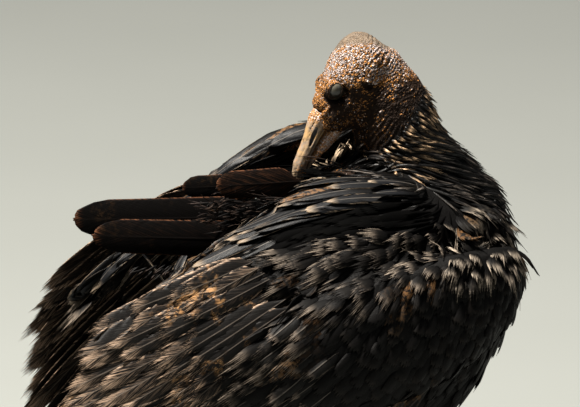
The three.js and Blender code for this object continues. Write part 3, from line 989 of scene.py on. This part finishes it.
def sculpt_head(mesh):
    """Lids, brow, folds, ear, the wrinkled nape and the crust over them. Returns the skin's marks."""
    points, normals = points_and_normals(mesh)
    near = np.flatnonzero(bareness(points) > -12 * MM)
    place, out = points[near], normals[near]
    bare = bareness(place)
    s, d, y = head_coordinates(place)

    # the eyelids: the skin rides over the ball at the rim and drops behind it inside the opening
    eye_side = np.abs(centre("eye_left")[1] - centre("eye_right")[1]) / 2 - EYE_SINK
    from_ball = np.hypot(s - 0.5 * MM, d - 2.5 * MM)
    opening = np.hypot((s - 0.6 * MM) / (5.0 * MM), (d - 3.6 * MM) / (3.6 * MM))
    ball = np.sqrt(np.clip(EYE_RADIUS**2 - from_ball**2, 0, None))
    facing = (np.abs(out[:, 1]) > 0.25) | (opening < 1.4)
    outward = np.abs(y) - eye_side
    rim = ball + mixed(0.5, 0.1, smoothstep(1.1, 1.5, opening)) * MM
    lid = (1 - smoothstep(1.3, 2.0, opening)) * facing
    wanted = np.where(opening < 1.0, ball - 1.6 * MM, np.maximum(outward, rim))
    move = (wanted - outward) * lid
    place = place + np.stack([0 * y, np.sign(y) * move, 0 * y], 1)

    # broad forms, in millimetres: brow, lore with its ridge, cheek, nape, ear opening, rings of the lids
    def mound(s0, d0, ls, ld):
        return bell(s - s0 * MM, ls * MM) * bell(d - d0 * MM, ld * MM)

    off_middle = ramp(8, 14, np.abs(y))
    push = off_middle * (1.0 * mound(1, 12.5, 12, 3.2) - 1.2 * mound(-12, 1.5, 6, 5))
    push = push - 0.8 * mound(2, -9.5, 8, 3)
    push += 0.7 * mound(12, -9, 7, 5) + 2.8 * mound(40, -24, 9, 9) + 1.7 * mound(-15, 11, 9, 5)
    lore = np.abs(d - 0.3 * MM)
    push += mound(-15, 0.3, 5, 9) * (0.7 * bell(lore, 0.6 * MM) - 0.8 * bell(lore - 2 * MM, MM))
    ear = np.hypot((s - 13.3 * MM) / (2.2 * MM), (d + 11.8 * MM) / (4.4 * MM))
    ear += 0.5 * noise_of(place, 160)
    push += -1.9 * (1 - smoothstep(0.3, 1.1, ear)) + 0.8 * bell(ear - 1.35, 0.3)
    rings = sum(bell(opening - ring, 0.055) for ring in (1.27, 1.5, 1.75)) * facing
    rings *= ramp(-3, 3, d - 2 * MM + 0.5 * s)
    push += 0.45 * rings

    # wrinkles: long folds from the gape over the cheek, oblique pleats over the nape
    warp = noise_of(place, 90, 2)
    cheek = ramp(-28, -20, -np.abs(s + 14 * MM) - 8 * MM) * ramp(-3, -9, d)
    push += 0.25 * cheek * np.sin(d / (0.55 * MM) + 4.0 * warp)
    nape = ramp(4, 20, s - 0.5 * d) * ramp(-4, 6, bare)
    ahead, _, rise = (place - EYES).T
    pleated = ramp(14, 24, ahead) * ramp(-8, 0, rise)
    pleats = pleated * np.sin((0.48 * s + 0.88 * d) / (0.42 * MM) + 7.0 * warp)
    pleats *= np.clip(0.6 + 1.2 * noise_of(place + 0.3, 75), 0.1, 1)
    push += 0.4 * pleats

    # the crust: grains, coarse on the crown, in broken rows over the nape and finer below the eye
    row_way = unit([0.85, 0, 0.53])
    rows = place - ((place - EYES) @ row_way)[:, None] * row_way * 0.42
    top = np.maximum(ramp(2, 9, rise), ramp(-4, -10, ahead))
    grain = mixed(cells_of(place, 880) * 0.8, cells_of(place + warp[:, None] * 0.0008, 720), top)
    grain = mixed(grain, cells_of(rows + warp[:, None] * 0.001, 720), nape)
    lidded = 1 - (1 - smoothstep(1.08, 1.4, opening)) * facing
    inside_ear = 1 - smoothstep(0.9, 0.6, ear)
    dusty = smoothstep(DUSTY_EDGE, DUSTY_EDGE + 6 * MM, np.stack([s, d, y], 1) @ DUSTY_WAY + 2.5 * warp * MM)
    uneven = np.clip(0.8 + 0.8 * noise_of(place, 170), 0.35, 1) * (1 - 0.85 * dusty)
    push += grain * uneven * mixed(0.4, 0.65, np.maximum(top, nape)) * lidded * inside_ear - 0.6 * dusty

    # how thickly the crust's specks lie: partly the crust's own spread, partly painted light, thicker and paler
    # on the crown, the pleats' crests, the lids' rings and a fold by the ear as painted highlight, thinner and
    # darker in the pleats' furrows, the ear opening and round the eye as painted shade
    below_eye = np.hypot((s + 2 * MM) / (7 * MM), (d - 2.3 * MM) / (6 * MM))
    in_lore = mound(-15, -0.5, 6.5, 4.5) * off_middle
    zone = mixed(-0.55, 1.2, top) + 0.7 * pleats - 0.25 * ramp(24, 40, ahead)
    zone += 1.2 * mound(9, -15.9, 2, 4) - 1.6 * (1 - smoothstep(0.7, 1.8, ear))
    zone += 1.8 * rings - 2.2 * (1 - smoothstep(0.85, 1.2, below_eye)) * facing
    zone -= 1.5 * in_lore * (1 - 1.6 * bell(lore, 0.7 * MM))
    marks = {
        "grain_place": mixed(place, rows, nape[:, None]) + warp[:, None] * 0.0006,
        "zone": zone,
        # specks grow paler towards the top of the head: partly scurf, partly painted highlight where light
        # falls from above
        "scurf_and_highlight": 0.45 * ramp(4, 14, rise) - 0.1,
        "dusty": dusty,
    }
    points[near] = place + out * (push * ramp(-12, 0.0, bare) * MM)[:, None]
    set_points(mesh, points)
    spread = {}
    for key, values in marks.items():
        spread[key] = np.zeros((len(points), *values.shape[1:]))
        spread[key][near] = values
    return spread


def shoulder_webs():
    """The fold of skin that closes the gap between each folded wing and the neck."""
    return [
        (Vector(at("wing_arm_right", 0.787, 0.774, 0.933)), (0.010, 0.018, 0.018)),
        (Vector(at("wing_arm_left", 0.783, 0.188, 0.987)), (0.010, 0.019, 0.019)),
    ]


def build_skin():
    mesh = fused(FLESH, SKIN_VOXEL, swell=0.6 * MM, smoothing=5, webs=shoulder_webs())
    shrink(mesh)
    skin = unwrap(mesh)
    surface = Surface(mesh)
    refine_head(mesh)
    marks = sculpt_head(mesh)
    skin.name = "skin"
    shade_smooth(mesh)
    give_attribute(skin, "bare", bareness(read(mesh.vertices, "co", 3)))
    for key, values in marks.items():
        give_attribute(skin, key, values)
    add_piece(skin, "bare_skin", skin_paint(), *FLESH)
    return surface


# ---- The coat, region by region ----
def in_regions(*prefixes, test=None):
    ids = [i for i, name in enumerate(FLESH) if name.startswith(prefixes)]

    def where(points, regions):
        wanted = np.isin(regions, ids)
        return wanted & test(points) if test else wanted

    return where


def feathered(points):
    return bareness(points) < 0


def either(*tests):
    return lambda points, regions: np.any([test(points, regions) for test in tests], axis=0)


def over_line(node, across, heights):
    """A test for points above a line drawn across a node's box, from shares of its length and height."""

    def test(points):
        share = shares(node, points)
        return share[:, 2] > np.interp(share[:, 0], across, heights)

    return test


def graded(share, *ends):
    """Sizes that change from the first to the second of each pair as share of the points goes from 0 to 1."""
    return [lambda points, pair=pair: mixed(*pair, share(points)) for pair in ends]


# The coat's paints: name, dark and worn colours, gloss, how much mud clings, where the worn margin starts,
# shine.
COAT_PAINTS = (
    ("body feathers", (0.0026, 0.0023, 0.0022), (0.014, 0.0115, 0.0095), 0.6, 0.06, 0.6, 0.07),
    # Near black feathers where the coat lies in shade: under the head, in the hollow under the scapulars and
    # below the shoulders. The black is painted shade.
    ("feathers in painted shade", (0.0004, 0.0004, 0.0004), (0.001, 0.0009, 0.0008), 0.7, 0.0, 0.6, 0.015),
    # Pale down under the head: partly dust, partly painted sunlight on coat that lies in shade.
    ("dusty down painted sunlit", (0.05, 0.036, 0.024), (0.5, 0.38, 0.26), 0.8, 0.5, 0.1, 0.05),
    # The hackles' pale worn edges are partly wear and partly painted glints along the strands.
    ("neck hackles", (0.0026, 0.0024, 0.0024), (0.12, 0.1, 0.085), 0.42, 0.05, 0.55, 0.18),
    ("collar feathers", (0.004, 0.0036, 0.0032), (0.9, 0.6, 0.36), 0.42, 1.0, 0.05, 0.2),
    # The coverts' and front coverts' pale worn colours are partly wear and partly painted sunlight on the top
    # of the folded wing; the front coverts are painted paler still.
    ("wing coverts", (0.005, 0.0043, 0.0038), (0.2, 0.16, 0.125), 0.6, 0.25, 0.45, 0.08),
    ("front coverts", (0.008, 0.007, 0.006), (0.4, 0.33, 0.26), 0.6, 0.35, 0.35, 0.08),
    # The scapulars' faintly blue dark colour is a painted sheen of the sky.
    ("scapular feathers", (0.005, 0.0053, 0.0062), (0.3, 0.225, 0.155), 0.45, 0.6, 0.82, 0.15),
    ("greater coverts", (0.005, 0.0045, 0.004), (0.27, 0.21, 0.165), 0.6, 0.25, 0.72, 0.1),
)


def build_coat(surface):
    paints = [coat_paint(*row) for row in COAT_PAINTS]
    body, painted_shade, dusty, hackle, muddy, covert, front, smooth, greater = paints

    strand = cut_feather(rows=6, columns=5, rounding=0.25, ragged=0.1, camber=0.9, ridge=0.45, taper=0.5)
    scale = cut_feather(rows=4, columns=5, fringe=0.45, ragged=0.18, camber=0.6, ridge=0.6, taper=0.3)
    tuft = cut_feather(rows=4, columns=13, fringe=0.42, rounding=0.26, ragged=0.14, camber=0.5, ridge=0.8,
                       variants=8)
    plain = cut_feather(rows=6, columns=7, fringe=0.16, rounding=0.32, ragged=0.04, camber=0.3, ridge=0.16)
    shafted = dict(clumps=0.07, shaft=0.25, slant=0.1, splits=1, variants=8)
    long = cut_feather(rows=14, fringe=0, rounding=0.36, ragged=0.025, camber=0.2, ridge=0.0, steps=8,
                       taper=0.45, **shafted)
    broad = cut_feather(**{**shafted, "clumps": 0.2, "slant": 0.12}, rows=12, columns=11, fringe=0.15,
                        rounding=0.35, ragged=0.05, camber=0.4, ridge=0.25, steps=7, taper=0.1)

    def collar(points):
        return feathered(points) & (bareness(points) > -26 * MM)

    def from_edge(points):
        return ramp(0, -26, bareness(points))

    def wing_front(points):
        """The low flanks of the neck, where the folded wing's coverts lie over it."""
        return (points[:, 2] < WING_FRONT_TOP) & (np.abs(points[:, 1]) > 14 * MM)

    def neck(points):
        return (bareness(points) < -0.014) & ~wing_front(points)

    def shoulder(points):
        """Here hackles hang over the scapulars, and start further back near the midline."""
        inner = np.abs(points[:, 1]) < 46 * MM
        return points[:, 0] > SHOULDER - np.where(inner, 50.0, 25.0) * MM

    def in_front(points):
        return points[:, 0] > SHOULDER - 15 * MM

    def towards_shoulder(points):
        return smoothstep(SHOULDER - 0.055, SHOULDER - 0.005, points[:, 0])

    def hackle_length(points):
        short = smoothstep(WING_FRONT_TOP + 0.04, WING_FRONT_TOP, points[:, 2])
        return mixed(32.0, 12.0, short * ramp(8, 16, np.abs(points[:, 1])))

    def mantle_front(points):
        return points[:, 0] > at("mantle", 0.69, 0, 0)[0]

    def ruffled(points):
        """Under the head, where the bill has disturbed the coat."""
        return (points[:, 0] > 5 * MM) & (points[:, 0] < 72 * MM) & (np.abs(points[:, 1]) < 32 * MM)

    def parted(points):
        """The ruffled part of the scapulars, right beside the bill."""
        return ruffled(points) & (points[:, 0] > 40 * MM)

    def settled(points):
        """1 high on the shoulders, where the coat is no longer ruffled."""
        return ramp(374, 384, points[:, 2])

    def covert_length(points):
        """Long above the tail, over the roots of its feathers, and short beneath it."""
        return mixed(18.0, 46.0, ramp(-2, 8, (points - centre("tail_coverts")) @ TAIL_UP))

    # where the pale down lies, whose paleness is partly dust and partly painted sunlight
    def sunlit_dusty_spots(points):
        far = points - at("mantle", 0.78, 0.69, 1)
        near = points - at("mantle", 0.64, 0.28, 1)
        return (np.hypot(far[:, 0], far[:, 1]) < 13 * MM) | (np.hypot(near[:, 0], near[:, 1]) < 7 * MM)

    coat("collar_feathers", surface, muddy, scale, in_regions("neck", "head", test=collar),
         2.6, lambda points: mixed(7.0, 20.0, from_edge(points)), 2.4, 2.6, seed=20, stray=0.3)
    coat("hackles", surface, hackle, strand,
         either(in_regions("neck", "head", test=neck), in_regions("mantle", test=mantle_front)),
         3.9, hackle_length, 2.5, 5.0, seed=21, stray=0.16)
    # painted shade: near black feathers under the head
    coat("ruffled_feathers", surface, painted_shade, strand,
         either(in_regions("mantle", test=ruffled), in_regions("scapulars", test=parted)),
         3.2, lambda p: mixed(20.0, 8.0, settled(p)), 2.6, lambda p: mixed(11.0, 2.0, settled(p)),
         seed=26, stray=0.4)
    # pale down, partly dust and partly painted sunlight under the head
    coat("dusty_down_painted_sunlit", surface, dusty, strand, in_regions("mantle", "scapulars", test=sunlit_dusty_spots),
         1.9, 11, 1.6, 8.0, seed=27, stray=0.6)
    coat("breast_feathers", surface, body, plain, in_regions("trunk"), 7.5, 27, 13, 2.4, seed=22)
    coat("tail_covert_feathers", surface, body, plain, in_regions("tail_coverts"),
         8.0, covert_length, 15, 2.0, seed=24, stray=0.05)
    for side, seed, outwards in (("left", 30, 1), ("right", 40, -1)):
        arm, scapulars = f"wing_arm_{side}", f"scapulars_{side}"

        def rear(points):
            return smoothstep(0.75, 0.2, shares(arm, points)[:, 0])

        def puffed(points):
            return mixed(5.0, 8.5, smoothstep(WING_FRONT_TOP - 0.024, WING_FRONT_TOP - 0.008, points[:, 2]))

        def on_side(points):
            return (points[:, 1] * outwards > 0) & ~mantle_front(points)

        upper = over_line(scapulars, [0.1, 0.35, 0.49, 0.65, 0.8], [0.2, 0.55, 0.79, 0.83, 0.85])
        under = over_line(scapulars, [0.0, 0.4, 0.58, 0.83, 0.93], [0.1, 0.6, 0.62, 0.66, 0.75])
        topmost = over_line(scapulars, [0, 1], [0.82, 0.82])
        # above this line the arm's coverts take the pale covert paints, below it the near black body paint:
        # painted sunlight on the top of the folded wing and painted shade under it, besides the real wear
        lit = over_line(arm, [0.14, 0.28, 0.44, 0.64, 0.86], [0.3, 0.5, 0.76, 0.8, 0.85])
        sizes = graded(rear, (6.0, 8.0), (16.0, 28.0), (10.5, 14.0))
        band = either(in_regions(arm, test=lit), in_regions(scapulars, test=lambda p: ~under(p)),
                      in_regions("neck", test=lambda p: wing_front(p) & (p[:, 1] * outwards > 0)))
        for label, paint, forward, extra in (
            ("covert_feathers", covert, False, 1), ("front_coverts", front, True, 9),
        ):
            coat(f"{label}_{side}", surface, paint, tuft,
                 lambda p, regions: band(p, regions) & (in_front(p) == forward),
                 *sizes, puffed, seed=seed + extra, stiff=0.6, stray=0.2)
        # painted shade: the lower coverts take the near black body paint
        coat(f"lower_covert_feathers_{side}", surface, body, plain, in_regions(arm, test=lambda p: ~lit(p)),
             *sizes, 2.0, seed=seed + 5, stiff=0.6, stray=0.1)
        # painted shade: near black feathers in the hollow under the scapulars
        coat(f"hollow_feathers_{side}", surface, painted_shade, plain,
             in_regions(scapulars, test=lambda p: under(p) & ~upper(p) & ~shoulder(p)),
             6.5, 40, 7.5, 2.5, seed=seed + 7, stray=0.15)
        coat(f"greater_coverts_{side}", surface, greater, broad, in_regions(arm, test=lambda p: rear(p) > 0.75),
             10.0, 34, 12.5, 3.5, seed=seed + 6, stiff=0.75, stray=0.15, roll=0.12 * outwards)
        coat(f"shoulder_hackles_{side}", surface, hackle, strand,
             in_regions(scapulars, test=lambda p: shoulder(p) & topmost(p)), 4.0, 26, 3.0, 4.0, seed=seed + 4)
        # painted shade: near black feathers under the shoulder's hackles
        coat(f"under_shoulder_feathers_{side}", surface, painted_shade, strand,
             in_regions(scapulars, test=lambda p: shoulder(p) & under(p) & ~topmost(p)),
             4.0, 24, 3.2, 3.0, seed=seed + 8)
        coat(f"scapular_feathers_{side}", surface, smooth, long,
             either(in_regions(scapulars, test=lambda p: upper(p) & ~shoulder(p) & ~parted(p)),
                    in_regions("mantle", test=on_side)),
             *graded(towards_shoulder, (8.6, 4.8), (64.0, 28.0), (13.0, 6.5)), 3.0,
             seed=seed + 2, stiff=0.8 if side == "right" else 0.5, bend=0.1, stray=0.07, roll=0.2 * outwards)
        coat(f"thigh_feathers_{side}", surface, body, plain, in_regions(f"thigh_{side}"),
             6.5, 22, 10, 1.8, seed=seed + 3)


# ---- Long feathers ----
QUILL = cut_feather(
    rows=34, columns=13, fringe=0.05, rounding=0.2, ragged=0.014, slant=0.16, splits=3, camber=0.2, ridge=0.0,
    clumps=0.3, shaft=0.4, waist=0.5, taper=0.4, steps=12, thick=0.2, variants=8,
)
ROW_COVERT = cut_feather(
    rows=18, columns=13, fringe=0.12, rounding=0.32, ragged=0.045, slant=0.14, splits=1, camber=0.25, ridge=0.0,
    clumps=0.2, shaft=0.3, waist=0.5, taper=0.15, steps=12, thick=0.2, variants=8,
)
# Rows of feathers over each wing's fan: name, share of the fan that they cover, how many, their width and how
# proud they lie in millimetres.
WING_ROWS = (
    ("secondaries", 1.0, 22, 24, 0.6, QUILL),
    ("inner_secondaries", 0.8, 18, 18, 2.6, QUILL),
    ("row_coverts", 0.6, 17, 18, 4.6, ROW_COVERT),
    ("upper_row_coverts", 0.42, 17, 15, 6.4, ROW_COVERT),
)


def outside_of(nodes):
    points, tris, start = [], [], 0
    for node in nodes:
        p, t = mesh_arrays(NODES[node].data)
        points.append(p)
        tris.append(t + start)
        start += len(p)
    return tree_of(np.concatenate(points), np.concatenate(tris))


OUTSIDE = 0.25  # further out than any solid reaches


def drape(tree, lines, outward, proud):
    """Move centre lines along outward until they lie on the outside of a solid, standing proud of it."""
    outward = np.array(unit(outward))
    draped = lines.copy()
    for line in draped:
        for point in line:
            start = Vector(point + outward * OUTSIDE)
            hit = tree.ray_cast(start, Vector(-outward))[0] or tree.find_nearest(Vector(point))[0]
            point += outward * ((np.array(hit) - point) @ outward)
    for _ in range(4):
        draped[:, 1:-1] = 0.5 * draped[:, 1:-1] + 0.25 * (draped[:, :-2] + draped[:, 2:])
    return draped + outward * proud


def along_row(row, share):
    """Points at shares 0..1 along a smooth row through three points."""
    a, b, c = (np.array(p) for p in row)
    share = np.asarray(share, float)[:, None]
    return a * (1 - share) * (1 - 2 * share) + b * 4 * share * (1 - share) + c * share * (2 * share - 1)


def straight(roots, tips, sag, samples=QUILL.steps + 1):
    t = np.linspace(0, 1, samples)[None, :, None]
    lines = roots[:, None] * (1 - t) + tips[:, None] * t
    lines[..., 2] -= (4 * t * (1 - t))[..., 0] * sag
    return lines


def fan(name, node, roots, tips, count, width, paint, outward, seed,
        cut=QUILL, roll=0.12, proud=0.6, reach=1.0):
    """A fan of long feathers over CAD vanes, each one's lower edge over the next. Sizes in millimetres.

    roots and tips are rows of three places each, as shares of the node's length and height.
    """
    local = np.random.default_rng(seed)
    share = np.linspace(0, 1, count)
    starts, ends = (along_row([at(node, fx, 0.5, fz) for fx, fz in row], share) for row in (roots, tips))
    reaches = reach * local.normal(1, 0.0 if reach == 1 else 0.07, (count, 1))
    ends = starts + (ends - starts) * reaches + local.normal(0, 2.5 * MM, (count, 3))
    lines = drape(outside_of([node]), straight(starts, ends, 0.0), outward, proud * MM)
    lines += np.array(unit(outward)) * ((np.arange(count) % 2) * 0.4 * MM)[:, None, None]
    widths = local.uniform(0.9, 1.1, count) * width * MM
    rolls = local.normal(roll, 0.04, count)
    replaced = [node] if reach == 1 else []
    lay_feathers(name, "flight_feathers", paint, lines, unit(outward), widths, cut, seed, panels(count),
                 rolls=rolls, replaced=replaced)


def build_wings():
    quills = {
        side: vane_paint(f"flight feathers {side}", (0.004, 0.0034, 0.003), (0.36, 0.25, 0.175), 0.5, mud_share,
                         (0.12, 0.098, 0.08), shine=0.12)
        for side, mud_share in (("right", 0.85), ("left", 0.15))
    }
    dark = vane_paint("primaries", (0.006, 0.0053, 0.005), (0.06, 0.048, 0.04), 0.45, 0.35, shine=0.2)
    for side, seed, roots, tips in (
        ("right", 60, [(0.66, 1.0), (0.77, 0.84), (0.85, 0.64)], [(0.17, 0.84), (0.02, 0.42), (0.06, 0.01)]),
        ("left", 100, [(0.64, 0.98), (0.76, 0.84), (0.9, 0.68)], [(0.09, 0.71), (0.02, 0.34), (0.17, 0.01)]),
    ):
        turned = -1 if side == "right" else 1
        outward = [0, turned, 0.12]
        node = f"flight_feathers_{side}"
        for row, (label, reach, count, width, proud, cut) in enumerate(WING_ROWS):
            fan(f"{label}_{side}", node, roots, tips, count, width, quills[side], outward, seed + row, cut,
                (0.2 - 0.03 * row) * turned, proud, reach)
        fan(f"wing_primaries_{side}", f"primaries_{side}", [(0.9, 1.05), (0.94, 1.02), (0.99, 0.98)],
            [(0.005, 0.21), (0.06, 0.08), (0.18, 0.02)], 5, 30, dark, outward, seed + 9, roll=0.1 * turned)


def build_tail():
    dark = vane_paint("tail feathers", (0.004, 0.0035, 0.0033), (0.035, 0.028, 0.023), 0.45, 0.3, shine=0.1)
    k = np.linspace(-1, 1, 12)[:, None]
    drop = np.hstack([0.02 * np.abs(k), 0 * k, -0.013 * k**2])
    roots = at("tail", 0.93, 0.5, 1.1) + drop * 0.4 + np.hstack([0 * k, 0.014 * k, 0 * k])
    tips = at("tail", 0.01, 0.5, 0.14) + drop * [0.3, 1, 1] + np.hstack([0 * k, 0.03 * k, 0 * k])
    lines = drape(outside_of(["tail"]), straight(roots, tips, 0.0), TAIL_UP, 0.0004)
    tucked = 4.0 * MM * smoothstep(0.3, 0.0, np.linspace(0, 1, lines.shape[1]))  # roots lie under the coverts
    lines += TAIL_UP * (1.2 * MM * (1 - np.abs(k)) - tucked)[:, :, None]
    rolls = -0.12 * np.sign(k[:, 0])
    lay_feathers("tail_feathers", "flight_feathers", dark, lines, TAIL_UP, 0.03, QUILL, 80, panels(12),
                 rolls=rolls, replaced=["tail"])


def build_raised_feathers():
    """Loose scapulars that the bill has lifted on edge, seen from their shaded side; they are painted near
    black, darker than the other scapulars, as painted shade.
    """
    # painted shade: the raised feathers are near black, with thin brown margins
    shaded = vane_paint("raised feathers", (0.0012, 0.0009, 0.0008), (0.08, 0.033, 0.016), 0.65, 0.02,
                        (0.004, 0.003, 0.0025), margin=0.92, shine=0.04)
    changes = dict(rows=60, columns=17, rounding=0.2, taper=0.1, clumps=0.05, waist=0.22, splits=0,
                   ragged=0.005, fringe=0, variants=1)
    cut = cut_feather(**{**vars(QUILL), **changes})
    for i, (root, tip) in enumerate(
        (((1, 0.25, 0.4), (0, 0.75, 0.6)), ((1, 0.25, 0.38), (0, 0.75, 0.7)),
         ((0.8, 0.4, 0.48), (0, 0.7, 0.5)), ((0.9, 0.3, 0.44), (0, 0.8, 0.5))),
        start=1,
    ):
        node = f"raised_feather_{i}"
        low, high = box_of(node)
        lines = straight(at(node, *root)[None], at(node, *tip)[None], 0.0)
        outward = unit([0.05, -1, 0.1])
        t = np.linspace(0, 1, lines.shape[1])
        lines += (outward * 0.003) * np.sin(np.pi * t)[None, :, None]
        tall = (high[2] - low[2]) - abs(lines[0, -1, 2] - lines[0, 0, 2])
        lay_feathers(f"raised_vane_{i}", "flight_feathers", shaded, lines, outward, tall * 0.98, cut,
                     90 + i, panels(1), rolls=np.zeros(1), replaced=[node])


def build_loose_barbs():
    """Down at the raised feathers' roots, frayed barbs under the lower one's margin, two over the bill."""
    facing = unit([0, -1, 0.2])
    down = coat_paint("down", (0.005, 0.0038, 0.0034), (0.06, 0.036, 0.026), 0.6, 0.1, 0.3, shine=0.15)
    hair = cut_feather(rows=5, columns=3, fringe=0.2, rounding=0.2, camber=0.6, ridge=0.2, taper=0.7, steps=6)
    local = np.random.default_rng(95)
    for name, node, count, along, up_share, way, length in (
        ("down_at_roots", "raised_feather_1", 110, (0.72, 1.0), (0.0, 1.1), [-1, -0.25, 0.12], 17),
        ("down_at_upper_roots", "raised_feather_3", 90, (-0.1, 0.7), (-0.7, 0.1), [-1, -0.2, 0.15], 15),
        ("frayed_barbs", "raised_feather_2", 60, (0.2, 0.85), (0.0, 0.12), [-0.8, -0.1, -0.5], 12),
    ):
        starts = [at(node, local.uniform(*along), 0.0, local.uniform(*up_share)) for _ in range(count)]
        starts = np.array(starts)
        ways = unit(np.array(way) + local.normal(0, 0.16, (count, 3)))
        lengths = local.uniform(0.6, 1.2, (count, 1)) * length * MM
        lines = straight(starts, starts + ways * lengths, 0.0)
        curve = np.linspace(0, 1, lines.shape[1])[None, :, None] ** 2
        lines += curve * local.normal(0, 0.12, (count, 1, 3)) * lengths[:, None]
        lay_feathers(name, "plumage", down, lines, facing, 1.1 * MM, hair, 96, panels(count))
    starts = np.array([at("bill_lower", 1.1, -0.36, 0.12), at("bill_lower", 1.0, -0.4, 0.2)])
    ends = np.array([at("bill_lower", -0.28, -0.3, 0.38), at("bill_lower", -0.3, -0.3, 0.45)])
    lines = straight(starts, ends, -0.002)
    lay_feathers("barbs_over_bill", "plumage", down, lines, facing, 0.9 * MM, hair, 97, panels(2))


# ---- Bill, eyes and legs ----
def inside_nostril(points, d, bins):
    """1 on the walls of the hole through the upper bill, 0 outside it."""
    aside = np.abs(points[:, 1] - centre("bill_upper")[1])
    rows = np.round(d / (1.5 * MM)).astype(int)
    cells = bins * 1000 + rows - rows.min()
    widest = np.zeros(cells.max() + 1)
    np.maximum.at(widest, cells, aside)
    low, high = np.full(bins.max() + 1, 1.0), np.full(bins.max() + 1, -1.0)
    np.minimum.at(low, bins, d)
    np.maximum.at(high, bins, d)
    from_edges = np.minimum(d - low[bins], high[bins] - d)
    return ramp(0.5, 1.1, widest[cells] - aside) * ramp(1.6, 2.4, from_edges)


def build_bill():
    """The horn is grooved along its side; the flesh at its base and along the lower half is crusted."""
    for node in ("bill_upper", "bill_lower"):
        mesh = fused([node], 0.45 * MM, smoothing=6)
        points, normals = points_and_normals(mesh)
        s, d, _ = head_coordinates(points)
        warp = noise_of(points, 120, 2) * 1.2 * MM
        base = s.max()
        bins = np.round((s - s.min()) / (2 * MM)).astype(int)
        lowest = [d[bins == i].min() if (bins == i).any() else 0 for i in range(bins.max() + 1)]
        above = d - np.array(lowest)[bins]
        if node == "bill_upper":
            edge = above + warp * 0.3
            groove = bell(edge - 2.6 * MM, 0.42 * MM) * smoothstep(base - 42 * MM, base - 26 * MM, s)
            groove = np.maximum(groove, 0.6 * bell(edge - 0.5 * MM, 0.3 * MM))
            fleshy = smoothstep(base - 13 * MM, base - 6 * MM, s + warp * 2)
            # the nostril's walls are painted black: painted shade in the hole
            groove = np.maximum(groove, inside_nostril(points, d, bins))
        else:
            # dark valleys between the lower bill's ridges: painted shade
            groove = 0.8 * (0.5 + 0.5 * np.sin(above / (0.38 * MM) + warp / (0.5 * MM)))
            fleshy = smoothstep(base - 38 * MM, base - 28 * MM, s + warp * 2)
        grain = cells_of(points, 720)
        if node == "bill_upper":
            points = points - HEAD_CROWN * (mixed(2.3, 1.2, smoothstep(s.min(), base, s)) * MM)[:, None]
        else:
            sag = smoothstep(base - 34 * MM, base - 16 * MM, s)
            points = points - HEAD_CROWN * (3.6 * MM * sag * ramp(4, 0, above))[:, None]
        push = 0.12 * noise_of(points, 260, 3) - 0.5 * groove * (1 - 0.4 * fleshy) + 0.45 * grain * fleshy
        points += normals * (push * MM)[:, None]
        set_points(mesh, points)
        made = link(node + "_horn", mesh)
        marks = {"groove": groove, "fleshy": fleshy, "grain_place": points, "zone": 1.5, "scurf_and_highlight": 0.1}
        for key, values in marks.items():
            give_attribute(made, key, np.full(len(points), values) if np.isscalar(values) else values)
        add_piece(made, "horn", horn_paint(node + " horn"), node)


def build_eyes():
    """Each ball is a fine sphere; rim runs from 0 at the cornea's middle to 1 behind."""
    paint = eye_paint()
    for side, facing in (("left", -1), ("right", 1)):
        node = f"eye_{side}"
        middle = centre(node) + EYE_SHIFT - np.array([0, facing * EYE_SINK, 0])
        ball = bmesh.new()
        bmesh.ops.create_uvsphere(ball, u_segments=72, v_segments=48, radius=EYE_RADIUS - 0.2 * MM,
                                  matrix=Matrix.Translation(middle))
        mesh = bpy.data.meshes.new(f"eyeball_{side}")
        ball.to_mesh(mesh)
        ball.free()
        shade_smooth(mesh)
        made = link(f"eyeball_{side}", mesh)
        away = unit(read(mesh.vertices, "co", 3) - middle)
        give_attribute(made, "rim", (1 - away @ unit([0, facing, 0])) / 2)
        # the pale film on the upper side is partly a painted highlight
        give_attribute(made, "film", smoothstep(0.1, 0.75, away @ FILM_AND_HIGHLIGHT_WAY))
        add_piece(made, "eye", paint, node)


def raise_scales(mesh):
    """Raise the leg's scales, and keep what stands on the floor flat."""
    points, normals = points_and_normals(mesh)
    points += normals * (0.35 * cells_of(points * [1, 1, 1.3], 420) * MM)[:, None]
    points[:, 2] = np.maximum(points[:, 2], 0)
    set_points(mesh, points)


def build_legs():
    paint, horn = leg_paint(), claw_paint()
    toes = ("inner", "middle", "outer", "hind")
    for side in ("left", "right"):
        nodes = [f"shank_{side}", f"foot_{side}"] + [f"toe_{toe}_{side}" for toe in toes]
        mesh = fused(nodes, 0.9 * MM, swell=0.35 * MM, smoothing=4)
        raise_scales(mesh)
        add_piece(link(f"leg_{side}", mesh), "leg_skin", paint, *nodes)
        for toe in toes:
            node = f"claw_{toe}_{side}"
            mesh = fused([node], 0.5 * MM, smoothing=5)
            add_piece(link(f"talon_{toe}_{side}", mesh), "claw", horn, node)


# ---- The whole bird ----
add_camera()
add_world()
set_tones()
add_light("key", azimuth=-78, elevation=70, distance=4.0, size=0.4, power=780, colour=(1.0, 0.95, 0.87))
add_light("fill", azimuth=40, elevation=35, distance=4.0, size=2.0, power=10, colour=(0.88, 0.93, 1.0))
add_floor()
skin_surface = build_skin()
build_coat(skin_surface)
build_wings()
build_tail()
build_raised_feathers()
build_loose_barbs()
build_bill()
build_eyes()
build_legs()
